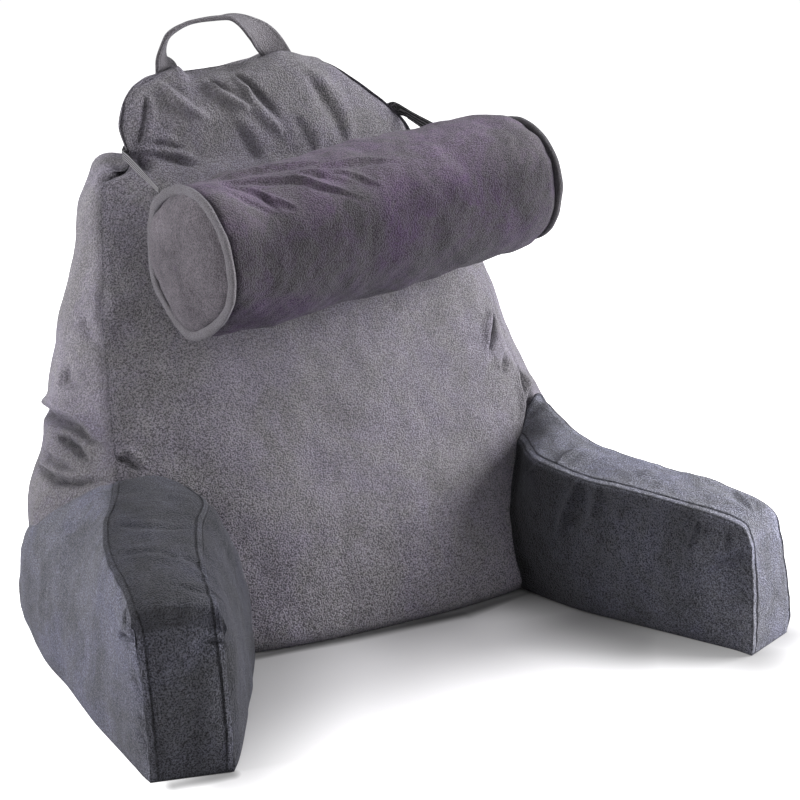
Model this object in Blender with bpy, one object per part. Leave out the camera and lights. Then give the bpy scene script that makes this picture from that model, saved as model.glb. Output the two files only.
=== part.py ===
"""Reading pillow with arms, hung neck roll and carry handle, modelled at real size.

Frame: metres, +Z up, +X to the right of someone facing the pillow, front toward -Y.  The origin is
on the flat base, on the middle line between the arms.  Every soft piece is a loft between sections
whose sizes stand in the short tables below.
"""

import math
from collections import namedtuple

import bmesh
import bpy
import numpy as np
from mathutils import Vector

# ---------------------------------------------------------------- driving sizes (metres)

GAP = 0.0003                 # what touching pieces keep between them
CUT_CLEARANCE = 0.0006       # how far the cutter stands outside the backrest, in plan and on top
CUTTER_DEPTH = 0.03          # how far the cutter reaches below the base

# ---- backrest: one filled wedge, a horizontal section at each height
FRONT_STEPS = 26             # points across the front panel
SIDE_STEPS = 5               # points from the face seam to the widest line of a side
BACK_STEPS = 20              # points round the sides and the back
FRONT_POWER = 2.6            # how squarely the front panel turns in to its seams
BACK_POWER = 2.3             # how squarely the back turns at its corners
SIDE_WIDEST = 0.30           # where a side is widest, as a share of the depth behind the seam
BACKREST_LEVELS = 42         # sections up the backrest
SHOULDER_Z = 0.398           # above this height parts of the backrest's skin lie nearly level

BackrestRow = namedtuple("BackrestRow", "z left right seam_y crown bulge back_y")
BACKREST = (
    BackrestRow(0.000, -0.232, 0.205, -0.098, 0.034, 0.040, 0.172),
    BackrestRow(0.012, -0.240, 0.213, -0.103, 0.038, 0.050, 0.186),
    BackrestRow(0.045, -0.246, 0.217, -0.088, 0.044, 0.060, 0.196),
    BackrestRow(0.100, -0.245, 0.210, -0.056, 0.046, 0.060, 0.203),
    BackrestRow(0.158, -0.236, 0.206, -0.021, 0.044, 0.050, 0.205),
    BackrestRow(0.214, -0.229, 0.206, 0.013, 0.042, 0.040, 0.206),
    BackrestRow(0.256, -0.223, 0.206, 0.039, 0.040, 0.030, 0.206),
    BackrestRow(0.295, -0.216, 0.202, 0.062, 0.038, 0.019, 0.206),
    BackrestRow(0.338, -0.206, 0.193, 0.088, 0.034, 0.010, 0.205),
    BackrestRow(0.375, -0.197, 0.182, 0.109, 0.030, 0.004, 0.203),
    BackrestRow(0.403, -0.186, 0.170, 0.124, 0.026, -0.002, 0.200),
    BackrestRow(0.416, -0.163, 0.155, 0.131, 0.022, -0.008, 0.196),
    BackrestRow(0.427, -0.164, 0.153, 0.134, 0.022, -0.010, 0.195),
    BackrestRow(0.445, -0.163, 0.142, 0.138, 0.022, -0.010, 0.195),
    BackrestRow(0.463, -0.158, 0.122, 0.143, 0.020, -0.010, 0.194),
    BackrestRow(0.480, -0.147, 0.100, 0.148, 0.016, -0.009, 0.192),
    BackrestRow(0.490, -0.134, 0.086, 0.152, 0.013, -0.007, 0.189),
    BackrestRow(0.498, -0.112, 0.070, 0.158, 0.010, -0.005, 0.184),
    BackrestRow(0.502, -0.090, 0.056, 0.164, 0.006, -0.003, 0.178),
)

# Soft folds sunk into the backrest, each along a straight line.  On the front panel a line runs in
# (x, z) and its trough goes backward; on the left side it runs in (y, z) and goes to the right.
FoldRow = namedtuple("FoldRow", "panel a0 z0 a1 z1 width depth")
FOLDS = (
    FoldRow("front", -0.121, 0.482, -0.078, 0.452, 0.008, 0.0060),
    FoldRow("front", -0.078, 0.490, -0.050, 0.463, 0.007, 0.0060),
    FoldRow("front", -0.054, 0.488, -0.012, 0.443, 0.008, 0.0055),
    FoldRow("front", 0.026, 0.476, 0.052, 0.420, 0.011, 0.0050),
    FoldRow("front", -0.046, 0.430, -0.034, 0.398, 0.010, 0.0035),
    FoldRow("front", -0.141, 0.472, -0.156, 0.420, 0.006, 0.0060),
    FoldRow("front", -0.152, 0.420, -0.100, 0.407, 0.008, 0.0045),
    FoldRow("front", 0.180, 0.270, 0.184, 0.216, 0.010, 0.0060),
    FoldRow("left", 0.110, 0.182, -0.010, 0.184, 0.009, 0.0060),
    FoldRow("left", 0.070, 0.166, 0.012, 0.157, 0.008, 0.0050),
)

# ---- arms: a boxing strip over the top and down the front, between two bulging side panels.
# Each row is an upright section over the floor line from (outer_x, outer_y) to (inner_x, inner_y).
# The seams stand at out_w and in_w along that line, at heights out_z and in_z; lean is how far the
# top lies behind the floor line.
ARM_FLOOR_STEPS = 6
ARM_WALL_STEPS = 8
ARM_TOP_STEPS = 5
ARM_SECTIONS = 20            # sections along an arm
ARM_WALL_POWER = 1.7         # how late an arm's wall turns in to its seam
ARM_TOP_CROWN = 0.006

ArmRow = namedtuple(
    "ArmRow", "outer_x outer_y inner_x inner_y out_w out_z in_w in_z belly_out belly_in lean"
)
ARM_LEFT = (
    ArmRow(-0.285, 0.110, -0.110, 0.030, 0.060, 0.090, 0.120, 0.090, 0.006, 0.004, 0.000),
    ArmRow(-0.308, 0.040, -0.115, -0.045, 0.062, 0.140, 0.138, 0.138, 0.014, 0.006, 0.000),
    ArmRow(-0.317, -0.050, -0.138, -0.120, 0.071, 0.161, 0.142, 0.153, 0.018, 0.006, 0.000),
    ArmRow(-0.321, -0.115, -0.164, -0.174, 0.052, 0.157, 0.121, 0.150, 0.018, 0.006, 0.000),
    ArmRow(-0.320, -0.172, -0.190, -0.222, 0.035, 0.150, 0.103, 0.145, 0.017, 0.006, 0.000),
    ArmRow(-0.310, -0.240, -0.219, -0.268, 0.009, 0.140, 0.074, 0.133, 0.014, 0.005, 0.000),
    ArmRow(-0.303, -0.272, -0.233, -0.291, 0.005, 0.126, 0.066, 0.121, 0.007, 0.003, 0.006),
    ArmRow(-0.299, -0.281, -0.235, -0.298, 0.003, 0.108, 0.063, 0.104, 0.003, 0.002, 0.014),
)
ARM_RIGHT = (
    ArmRow(0.262, 0.090, 0.105, 0.020, 0.060, 0.095, 0.120, 0.095, 0.004, 0.004, 0.000),
    ArmRow(0.294, 0.020, 0.120, -0.060, 0.078, 0.152, 0.150, 0.140, 0.010, 0.012, 0.000),
    ArmRow(0.307, -0.070, 0.143, -0.130, 0.096, 0.156, 0.168, 0.146, 0.014, 0.020, 0.000),
    ArmRow(0.316, -0.130, 0.160, -0.180, 0.086, 0.145, 0.160, 0.138, 0.016, 0.012, 0.000),
    ArmRow(0.318, -0.190, 0.186, -0.228, 0.066, 0.137, 0.136, 0.132, 0.016, 0.010, 0.000),
    ArmRow(0.312, -0.255, 0.221, -0.290, 0.034, 0.131, 0.098, 0.126, 0.012, 0.008, 0.000),
    ArmRow(0.308, -0.302, 0.241, -0.326, 0.012, 0.121, 0.070, 0.117, 0.006, 0.004, 0.008),
    ArmRow(0.304, -0.317, 0.245, -0.338, 0.004, 0.106, 0.062, 0.102, 0.002, 0.002, 0.014),
)
ARM_NOSE_INSET = 0.007       # how far the front panel's flat field stands in from its seams
ARM_NOSE_CROWN = 0.004       # how far that field stands forward

# ---- neck roll: an uneven stuffed tube with crowned ends, hung a little askew
ROLL_LEFT = Vector((-0.166, -0.050, 0.345))
ROLL_RIGHT = Vector((0.208, 0.013, 0.387))
ROLL_SIDES = 36
RollRow = namedtuple("RollRow", "share radius")      # share of the length, tube radius
ROLL = (
    RollRow(0.000, 0.0600),
    RollRow(0.012, 0.0600),
    RollRow(0.022, 0.0650),
    RollRow(0.120, 0.0680),
    RollRow(0.350, 0.0710),
    RollRow(0.650, 0.0740),
    RollRow(0.880, 0.0730),
    RollRow(0.978, 0.0660),
    RollRow(0.988, 0.0590),
    RollRow(1.000, 0.0590),
)
ROLL_STEPS = 19
ROLL_CAP_CROWN = 0.016       # how far an end panel bulges past its welt
ROLL_CAP_STEPS = 4
WELT_SECTION = 0.0042        # radius of the piped edge round each end
WELT_GAP = 0.0006            # between the notch of the roll and its piped edge
WELT_SIDES = 8
WELT_SEGMENTS = 40

# ---- carry handle: a flat strap sewn to the top seam at both feet, twisted between them
HANDLE_WIDTH = 0.027
HANDLE_THICKNESS = 0.0045
HANDLE_STEPS = 30
HandleRow = namedtuple("HandleRow", "x y z turn")    # turn: degrees of the width from +X to +Y
HANDLE = (
    HandleRow(-0.098, 0.168, 0.5000, 14.0),
    HandleRow(-0.106, 0.167, 0.5160, 48.0),
    HandleRow(-0.098, 0.166, 0.5330, 62.0),
    HandleRow(-0.073, 0.166, 0.5455, 62.0),
    HandleRow(-0.040, 0.166, 0.5480, 50.0),
    HandleRow(-0.008, 0.166, 0.5390, 26.0),
    HandleRow(0.014, 0.167, 0.5240, 10.0),
    HandleRow(0.027, 0.168, 0.5000, 4.0),
)

# ---- neck strap: one ribbed elastic band from roll end to roll end, round the back of the head
STRAP_WIDTH = 0.009
STRAP_THICKNESS = 0.0014
STRAP_STEPS = 81             # two stations to each stretch of the route
STRAP_SLACK = 0.0018         # extra room where the band lies on the head
STRAP_LEG_STEPS = 5          # places on each free stretch between the head and a welt
STRAP_LEFT_Z = 0.422         # height at the left pinch of the neck
STRAP_RIGHT_Z = 0.452        # height at the right side of the head
# Where it meets each welt: shares backward and upward, and how far its middle line stands off.
STRAP_LEFT_END = (0.55, 0.83, 0.0042)
STRAP_RIGHT_END = (0.80, 0.60, 0.0018)


# ---------------------------------------------------------------- helpers

def smooth(knots, values, at):
    """A smooth curve through a table that never swings past its rows (monotone cubic pieces)."""
    knots = np.asarray(knots, float)
    values = np.asarray(values, float).reshape(len(knots), -1)
    rise = np.diff(values, axis=0) / np.diff(knots)[:, None]
    turning = rise[:-1] * rise[1:] <= 0.0
    total = np.where(turning, 1.0, rise[:-1] + rise[1:])
    slopes = np.vstack((rise[:1],
                        np.where(turning, 0.0, 2.0 * rise[:-1] * rise[1:] / total),
                        rise[-1:]))
    at = np.clip(np.asarray(at, float), knots[0], knots[-1])
    piece = np.clip(np.searchsorted(knots, at, side="right") - 1, 0, len(knots) - 2)
    span = (knots[piece + 1] - knots[piece])[:, None]
    t = (at - knots[piece])[:, None] / span
    return ((2 * t**3 - 3 * t**2 + 1) * values[piece]
            + (t**3 - 2 * t**2 + t) * span * slopes[piece]
            + (3 * t**2 - 2 * t**3) * values[piece + 1]
            + (t**3 - t**2) * span * slopes[piece + 1])


def spread(knots, count):
    """count places along the knots, evenly shared between the rows of the table."""
    return np.interp(np.linspace(0.0, 1.0, count), np.linspace(0.0, 1.0, len(knots)), knots)


def material(name, colour, roughness):
    """A plain Principled finish."""
    finish = bpy.data.materials.new(name)
    finish.use_nodes = True
    shader = finish.node_tree.nodes["Principled BSDF"]
    shader.inputs["Base Color"].default_value = (*colour, 1.0)
    shader.inputs["Roughness"].default_value = roughness
    shader.inputs["Metallic"].default_value = 0.0
    return finish


def add_loft(name, rings, finish, collection):
    """One closed solid through rings of equal count, its two ends closed flat."""
    mesh = bpy.data.meshes.new(name)
    shape = bmesh.new()
    loops = [[shape.verts.new(point) for point in ring] for ring in rings]
    for low, high in zip(loops[:-1], loops[1:]):
        for i in range(len(low)):
            j = (i + 1) % len(low)
            shape.faces.new((low[i], low[j], high[j], high[i]))
    shape.faces.new(loops[0][::-1])
    shape.faces.new(loops[-1])
    bmesh.ops.recalc_face_normals(shape, faces=shape.faces)
    shape.to_mesh(mesh)
    shape.free()
    mesh.shade_smooth()
    mesh.set_sharp_from_angle(angle=math.radians(50.0))
    mesh.materials.append(finish)
    solid = bpy.data.objects.new(name, mesh)
    collection.objects.link(solid)
    return solid


# ---------------------------------------------------------------- backrest

def backrest_section(row):
    """The plan outline of the backrest at one height, anticlockwise from the left face seam."""
    left, right, seam_y, crown, bulge, back_y = row
    middle, half, depth = (left + right) / 2, (right - left) / 2, back_y - seam_y
    across = np.sin(np.linspace(-1.0, 1.0, FRONT_STEPS + 1) * math.pi / 2)
    front = np.column_stack((middle + half * across,
                             seam_y - crown * (1 - np.abs(across) ** FRONT_POWER)))
    share = np.linspace(0.0, 1.0, SIDE_STEPS + 1)[1:]
    side_x = half + bulge * np.sin(share * math.pi / 2)
    side_y = seam_y + SIDE_WIDEST * depth * share
    right_side = np.column_stack((middle + side_x, side_y))
    left_side = np.column_stack((middle - side_x, side_y))[:-1][::-1]
    turn = np.linspace(0.0, math.pi, BACK_STEPS + 1)[1:]
    cosine, sine = np.cos(turn), np.sin(turn)
    back = np.column_stack((
        middle + (half + bulge) * np.sign(cosine) * np.abs(cosine) ** (2 / BACK_POWER),
        side_y[-1] + (back_y - side_y[-1]) * np.abs(sine) ** (2 / BACK_POWER),
    ))
    return np.vstack((front, right_side, back, left_side))


def grown(outline, clearance):
    """A plan outline moved outward by a clearance."""
    along = np.roll(outline, -1, axis=0) - np.roll(outline, 1, axis=0)
    outward = np.column_stack((along[:, 1], -along[:, 0]))
    return outline + clearance * outward / np.linalg.norm(outward, axis=1)[:, None]


def fold_depth(row, along, height):
    """How deep one fold is at places along its panel."""
    start, end = np.array((row.a0, row.z0)), np.array((row.a1, row.z1))
    line = end - start
    offset = np.column_stack((along, np.full(len(along), height))) - start
    share = np.clip(offset @ line / (line @ line), 0.0, 1.0)
    distance = np.linalg.norm(offset - share[:, None] * line, axis=1)
    return row.depth * np.exp(-((distance / row.width) ** 2))


def folded(outline, height):
    """A plan outline with the folds of its height sunk in."""
    outline = outline.copy()
    front = slice(1, FRONT_STEPS)
    left = slice(FRONT_STEPS + 1 + SIDE_STEPS + BACK_STEPS // 2, None)
    for row in FOLDS:
        if row.panel == "front":
            outline[front, 1] += fold_depth(row, outline[front, 0], height)
        else:
            outline[left, 0] += fold_depth(row, outline[left, 1], height)
    return outline


def backrest_rings(clearance=0.0, below=0.0):
    """The sections up the backrest, each grown outward by a clearance."""
    knots = [row.z for row in BACKREST]
    heights = spread(knots, BACKREST_LEVELS)
    rows = smooth(knots, [row[1:] for row in BACKREST], heights)
    rings = []
    for height, row in zip(heights, rows):
        outline = grown(folded(backrest_section(row), height), clearance)
        lift = clearance if height > SHOULDER_Z else 0.0
        rings.append([(x, y, height + lift) for x, y in outline])
    if below:
        rings.insert(0, [(x, y, -below) for x, y, _ in rings[0]])
    return rings


# ---------------------------------------------------------------- arms

def arm_section(row):
    """One upright section of an arm: floor, inner wall, boxing strip, outer wall."""
    row = ArmRow(*row)
    outer, inner = np.array((row.outer_x, row.outer_y)), np.array((row.inner_x, row.inner_y))
    width = np.linalg.norm(inner - outer)
    along = (inner - outer) / width
    backward = np.array((0.0, 1.0)) - along * along[1]
    backward /= np.linalg.norm(backward)

    def wall(floor_w, seam_w, seam_z, belly, outward):
        share = np.linspace(0.0, 1.0, ARM_WALL_STEPS + 1)[:-1]
        w = (floor_w + (seam_w - floor_w) * share**ARM_WALL_POWER
             + outward * belly * np.sin(math.pi * np.sqrt(share)))
        return np.column_stack((w, seam_z * share))

    floor = np.column_stack((np.linspace(0.0, width, ARM_FLOOR_STEPS + 1)[:-1],
                             np.zeros(ARM_FLOOR_STEPS)))
    top_share = np.linspace(0.0, 1.0, ARM_TOP_STEPS + 1)
    top = np.column_stack((row.in_w + (row.out_w - row.in_w) * top_share,
                           row.in_z + (row.out_z - row.in_z) * top_share
                           + ARM_TOP_CROWN * np.sin(math.pi * top_share)))
    section = np.vstack((floor,
                         wall(width, row.in_w, row.in_z, row.belly_in, 1.0),
                         top,
                         wall(0.0, row.out_w, row.out_z, row.belly_out, -1.0)[1:][::-1]))
    tallest = section[:, 1].max()
    plan = (outer + section[:, :1] * along
            + row.lean * (section[:, 1:] / tallest) ** 2 * backward)
    return np.column_stack((plan, section[:, 1]))


def arm_rings(table):
    """The sections along an arm, from inside the backrest to the crowned front panel."""
    knots = np.arange(len(table), dtype=float)
    rows = smooth(knots, table, np.linspace(0.0, len(table) - 1.0, ARM_SECTIONS))
    rings = [arm_section(row) for row in rows]
    nose = rings[-1]
    centre = nose.mean(axis=0)
    forward = nose.mean(axis=0) - rings[-2].mean(axis=0)
    forward[2] = 0.0
    forward /= np.linalg.norm(forward)
    reach = np.linalg.norm((nose - centre)[:, :2], axis=1).max()
    field = centre + (nose - centre) * (1 - ARM_NOSE_INSET / reach) + forward * ARM_NOSE_CROWN
    field[:, 2] = np.maximum(field[:, 2], 0.0)
    return rings + [field]


def cut_back(solid, cutter):
    """Take away what a piece shares with the backrest, so that it seats against it."""
    cut = solid.modifiers.new("meets_backrest", "BOOLEAN")
    cut.operation = "DIFFERENCE"
    cut.solver = "EXACT"
    cut.object = cutter


# ---------------------------------------------------------------- neck roll

def roll_frame():
    """The roll's axis and two directions across it."""
    axis = (ROLL_RIGHT - ROLL_LEFT).normalized()
    up = (Vector((0.0, 0.0, 1.0)) - axis * axis.z).normalized()
    return axis, up, up.cross(axis)


def roll_ring(centre, radius):
    """A round section of the roll."""
    _, up, across = roll_frame()
    turns = np.linspace(0.0, 2 * math.pi, ROLL_SIDES, endpoint=False)
    return [centre + radius * (math.cos(a) * across + math.sin(a) * up) for a in turns]


def add_roll(finish, collection):
    """The stuffed tube and its two crowned end panels, as one solid."""
    axis, _, _ = roll_frame()
    length = (ROLL_RIGHT - ROLL_LEFT).length
    shares = spread([row.share for row in ROLL], ROLL_STEPS)
    radii = smooth([row.share for row in ROLL], [row.radius for row in ROLL], shares)[:, 0]
    stations = [(length * share, radius) for share, radius in zip(shares, radii)]
    for start, outward, radius in ((0.0, -1.0, radii[0]), (length, 1.0, radii[-1])):
        cap = []
        for step in range(1, ROLL_CAP_STEPS + 1):
            turn = step / (ROLL_CAP_STEPS + 0.5) * math.pi / 2
            cap.append((start + outward * ROLL_CAP_CROWN * math.sin(turn),
                        radius * math.cos(turn)))
        stations = cap[::-1] + stations if outward < 0 else stations + cap
    rings = [roll_ring(ROLL_LEFT + axis * float(place), float(radius)) for place, radius in stations]
    return add_loft("neck_roll", rings, finish, collection)


def add_welt(name, centre, neck_radius, finish, collection):
    """The piped edge round one end of the roll, seated in the notch between tube and end panel."""
    axis, _, _ = roll_frame()
    radius = neck_radius + WELT_GAP + WELT_SECTION
    bpy.ops.mesh.primitive_torus_add(
        major_radius=radius, minor_radius=WELT_SECTION,
        major_segments=WELT_SEGMENTS, minor_segments=WELT_SIDES,
    )
    welt = bpy.context.object
    welt.name = name
    welt.data.name = name
    welt.location = centre
    welt.rotation_euler = axis.to_track_quat("Z", "Y").to_euler()
    welt.data.shade_smooth()
    welt.data.materials.append(finish)
    for holder in list(welt.users_collection):
        holder.objects.unlink(welt)
    collection.objects.link(welt)
    return welt


# ---------------------------------------------------------------- straps

def band_rings(centres, widths, width, thickness):
    """Rectangular sections along a band, each with its own direction of width."""
    along = np.gradient(centres, axis=0)
    along /= np.linalg.norm(along, axis=1)[:, None]
    widths = widths - along * np.sum(widths * along, axis=1)[:, None]
    widths /= np.linalg.norm(widths, axis=1)[:, None]
    faces = np.cross(along, widths)
    corners = ((-0.5, -0.5), (0.5, -0.5), (0.5, 0.5), (-0.5, 0.5))
    return [[centre + u * width * across + v * thickness * face for u, v in corners]
            for centre, across, face in zip(centres, widths, faces)]


def add_handle(finish, collection):
    """The carry strap, its width turned from seam to arch and back."""
    rows = smooth(np.arange(len(HANDLE)), HANDLE, np.linspace(0, len(HANDLE) - 1, HANDLE_STEPS))
    turn = np.radians(rows[:, 3])
    widths = np.column_stack((np.cos(turn), np.sin(turn), np.zeros(len(turn))))
    rings = band_rings(rows[:, :3], widths, HANDLE_WIDTH, HANDLE_THICKNESS)
    return add_loft("handle", rings, finish, collection)


def strap_route():
    """The strap's middle line: left welt, round the back of the head, right welt."""
    clearance = GAP + STRAP_SLACK + STRAP_THICKNESS / 2
    knots = [row.z for row in BACKREST]
    round_head = []
    behind = np.r_[0, np.arange(FRONT_STEPS + 1, FRONT_STEPS + 2 * SIDE_STEPS + BACK_STEPS)[::-1],
                   FRONT_STEPS]
    for step, corner in enumerate(behind):
        height = STRAP_LEFT_Z + (STRAP_RIGHT_Z - STRAP_LEFT_Z) * step / (len(behind) - 1)
        edges = (height - STRAP_WIDTH / 2, height, height + STRAP_WIDTH / 2)
        rows = smooth(knots, [row[1:] for row in BACKREST], edges)
        places = [grown(backrest_section(row), clearance)[corner] for row in rows]
        middle = np.array(((rows[1][0] + rows[1][1]) / 2, (rows[1][2] + rows[1][5]) / 2))
        widest = max(places, key=lambda place: np.linalg.norm(place - middle))
        round_head.append((*widest, height))
    _, up, across = roll_frame()
    ends = []
    for centre, row, (backward, upward, standoff) in ((ROLL_LEFT, ROLL[0], STRAP_LEFT_END),
                                                      (ROLL_RIGHT, ROLL[-1], STRAP_RIGHT_END)):
        reach = row.radius + WELT_GAP + 2 * WELT_SECTION + standoff
        ends.append(np.array(centre + reach * (upward * up + backward * across)))
    free = np.linspace(0.0, 1.0, STRAP_LEG_STEPS, endpoint=False)[:, None]
    round_head = np.array(round_head)
    left_leg = ends[0] + free * (round_head[0] - ends[0])
    right_leg = ends[1] + free * (round_head[-1] - ends[1])
    return np.vstack((left_leg, round_head, right_leg[::-1]))


def add_strap(finish, collection):
    """The elastic band, on edge round the back of the head."""
    route = strap_route()
    along = np.concatenate(((0.0,), np.cumsum(np.linalg.norm(np.diff(route, axis=0), axis=1))))
    centres = smooth(along, route, spread(along, STRAP_STEPS))
    widths = np.tile((0.0, 0.0, 1.0), (STRAP_STEPS, 1))
    rings = band_rings(centres, widths, STRAP_WIDTH, STRAP_THICKNESS)
    return add_loft("neck_strap", rings, finish, collection)


# ---------------------------------------------------------------- assembly

def main():
    """Build every piece of the pillow."""
    for old in list(bpy.data.objects):
        bpy.data.objects.remove(old, do_unlink=True)
    parts = bpy.data.collections.new("reading_pillow")
    cutters = bpy.data.collections.new("cutters")
    bpy.context.scene.collection.children.link(parts)
    bpy.context.scene.collection.children.link(cutters)

    add_loft("backrest", backrest_rings(), material("plush_backrest", (0.16, 0.155, 0.17), 0.9), parts)
    cutter = add_loft("backrest_cutter", backrest_rings(CUT_CLEARANCE, CUTTER_DEPTH),
                      material("cutter", (0.5, 0.5, 0.5), 0.9), cutters)
    cutter.hide_render = True
    cutter.display_type = "WIRE"
    for name, table in (("arm_left", ARM_LEFT), ("arm_right", ARM_RIGHT)):
        arm = add_loft(name, arm_rings(table), material("plush_" + name, (0.13, 0.13, 0.15), 0.9), parts)
        cut_back(arm, cutter)
    roll = add_roll(material("plush_roll", (0.13, 0.125, 0.145), 0.9), parts)
    cut_back(roll, cutter)
    add_welt("roll_welt_left", ROLL_LEFT, ROLL[0].radius,
             material("welt_left", (0.15, 0.145, 0.16), 0.9), parts)
    add_welt("roll_welt_right", ROLL_RIGHT, ROLL[-1].radius,
             material("welt_right", (0.15, 0.145, 0.16), 0.9), parts)
    handle = add_handle(material("plush_handle", (0.16, 0.155, 0.17), 0.9), parts)
    cut_back(handle, cutter)
    add_strap(material("elastic", (0.06, 0.06, 0.065), 0.7), parts)


main()
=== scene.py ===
"""Looks of a reading pillow with arms: plush covers, felled seams, neck roll, carry handle and elastic.

Everything is in metres: +Z up, +X to the right of someone facing the pillow, the arms toward -Y.
Each cover is a grid of points worked out from a short table of sections, sunk by creases, pulled in
at its seams and given the unevenness of a hand-stuffed cushion.
"""

from __future__ import annotations

import logging
import math
from dataclasses import astuple, dataclass, fields
from enum import Enum

import bpy
import numpy as np
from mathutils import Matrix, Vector
from mathutils.bvhtree import BVHTree

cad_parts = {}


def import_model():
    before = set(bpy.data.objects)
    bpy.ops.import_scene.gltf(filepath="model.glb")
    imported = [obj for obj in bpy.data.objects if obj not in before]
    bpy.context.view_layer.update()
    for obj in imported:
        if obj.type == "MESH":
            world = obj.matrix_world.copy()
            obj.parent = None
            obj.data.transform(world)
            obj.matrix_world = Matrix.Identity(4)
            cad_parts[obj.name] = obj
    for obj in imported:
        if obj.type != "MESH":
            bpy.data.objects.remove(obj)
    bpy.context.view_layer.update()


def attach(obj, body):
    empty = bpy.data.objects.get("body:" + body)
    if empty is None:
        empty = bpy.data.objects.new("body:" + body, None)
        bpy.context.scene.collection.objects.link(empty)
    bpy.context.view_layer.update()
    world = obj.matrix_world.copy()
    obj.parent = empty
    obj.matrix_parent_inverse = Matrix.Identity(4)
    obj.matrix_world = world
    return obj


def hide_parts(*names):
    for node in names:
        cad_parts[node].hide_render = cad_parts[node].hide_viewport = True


LOG = logging.getLogger("reading_pillow")
BODY = "root"
Array = np.ndarray


# ---------------------------------------------------------------- numbers on arrays


def smooth(knots: Array, values: Array, at: Array) -> Array:
    """A curve through a table that never swings past its rows (monotone cubic pieces).

    The slope at a row is the harmonic mean of the rises on both sides, or nothing where they turn.

    Args:
        knots: places of the rows, rising.
        values: one row of numbers for each place.
        at: places to read.

    Returns:
        One row of numbers for each place read.
    """
    knots = np.asarray(knots, float)
    values = np.asarray(values, float).reshape(len(knots), -1)
    rise = np.diff(values, axis=0) / np.diff(knots)[:, None]
    turning = rise[:-1] * rise[1:] <= 0.0
    total = np.where(turning, 1.0, rise[:-1] + rise[1:])
    slopes = np.vstack((rise[:1], np.where(turning, 0.0, 2.0 * rise[:-1] * rise[1:] / total), rise[-1:]))
    at = np.clip(np.asarray(at, float), knots[0], knots[-1])
    piece = np.clip(np.searchsorted(knots, at, side="right") - 1, 0, len(knots) - 2)
    span = (knots[piece + 1] - knots[piece])[:, None]
    t = (at - knots[piece])[:, None] / span
    return ((2 * t**3 - 3 * t**2 + 1) * values[piece] + (t**3 - 2 * t**2 + t) * span * slopes[piece]
            + (3 * t**2 - 2 * t**3) * values[piece + 1] + (t**3 - t**2) * span * slopes[piece + 1])


def spread(knots: Array, count: int) -> Array:
    """Places along the knots, evenly shared between the rows of the table."""
    return np.interp(np.linspace(0.0, 1.0, count), np.linspace(0.0, 1.0, len(knots)), knots)


def step(low: float, high: float, at: Array) -> Array:
    """A soft step from 0 at low to 1 at high: 3t^2 - 2t^3 of the clipped share t."""
    t = np.clip((at - low) / (high - low), 0.0, 1.0)
    return t * t * (3.0 - 2.0 * t)


def unit(vectors: Array) -> Array:
    """The vectors at length one."""
    return vectors / np.maximum(np.linalg.norm(vectors, axis=-1, keepdims=True), 1e-12)


def grid_normals(grid: Array, wraps: bool = True) -> Array:
    """Outward normals of a grid of points: the cross product of its two central differences.

    Args:
        grid: rows by columns by 3, columns running anticlockwise seen from the last row.
        wraps: whether the last column meets the first.

    Returns:
        Normals in the shape of the grid.
    """
    across = (np.roll(grid, -1, axis=1) - np.roll(grid, 1, axis=1)) if wraps else np.gradient(grid, axis=1)
    return unit(np.cross(across, np.gradient(grid, axis=0)))


def relaxed(grid: Array, rounds: int, weight: Array | float = 0.5, wraps: bool = True) -> Array:
    """The grid with its corners rounded: each point goes part of the way to its neighbours' mean.

    Args:
        grid: rows by columns by 3.
        rounds: how many times.
        weight: share of the way, for each point or for all.
        wraps: whether the last column meets the first.

    Returns:
        The rounded grid.
    """
    for _ in range(rounds):
        padded = np.pad(grid, ((1, 1), (0, 0), (0, 0)), mode="edge")
        if wraps:
            sides = np.roll(grid, 1, axis=1) + np.roll(grid, -1, axis=1)
        else:
            wide = np.pad(grid, ((0, 0), (1, 1), (0, 0)), mode="edge")
            sides = wide[:, :-2] + wide[:, 2:]
        grid = grid + weight * ((padded[:-2] + padded[2:] + sides) / 4.0 - grid)
    return grid


@dataclass(frozen=True)
class Lumps:
    """Soft unevenness: a sum of cosines over seeded directions, about one wide at its peaks."""

    size: float
    height: float
    seed: int
    waves: int = 18

    def at(self, points: Array) -> Array:
        """Heights of the lumps.

        The height is the sum of cos(way . point + phase) over all waves, divided by the square root of
        their number.

        Args:
            points: places in metres.

        Returns:
            One height in metres for each place.
        """
        rng = np.random.default_rng(self.seed)
        ways = unit(rng.normal(size=(self.waves, 3))) * (
            2 * math.pi / (self.size * rng.uniform(0.7, 1.6, (self.waves, 1))))
        phases = rng.uniform(0.0, 2 * math.pi, self.waves)
        return self.height * np.cos(points @ ways.T + phases).sum(axis=-1) / math.sqrt(self.waves)


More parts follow.
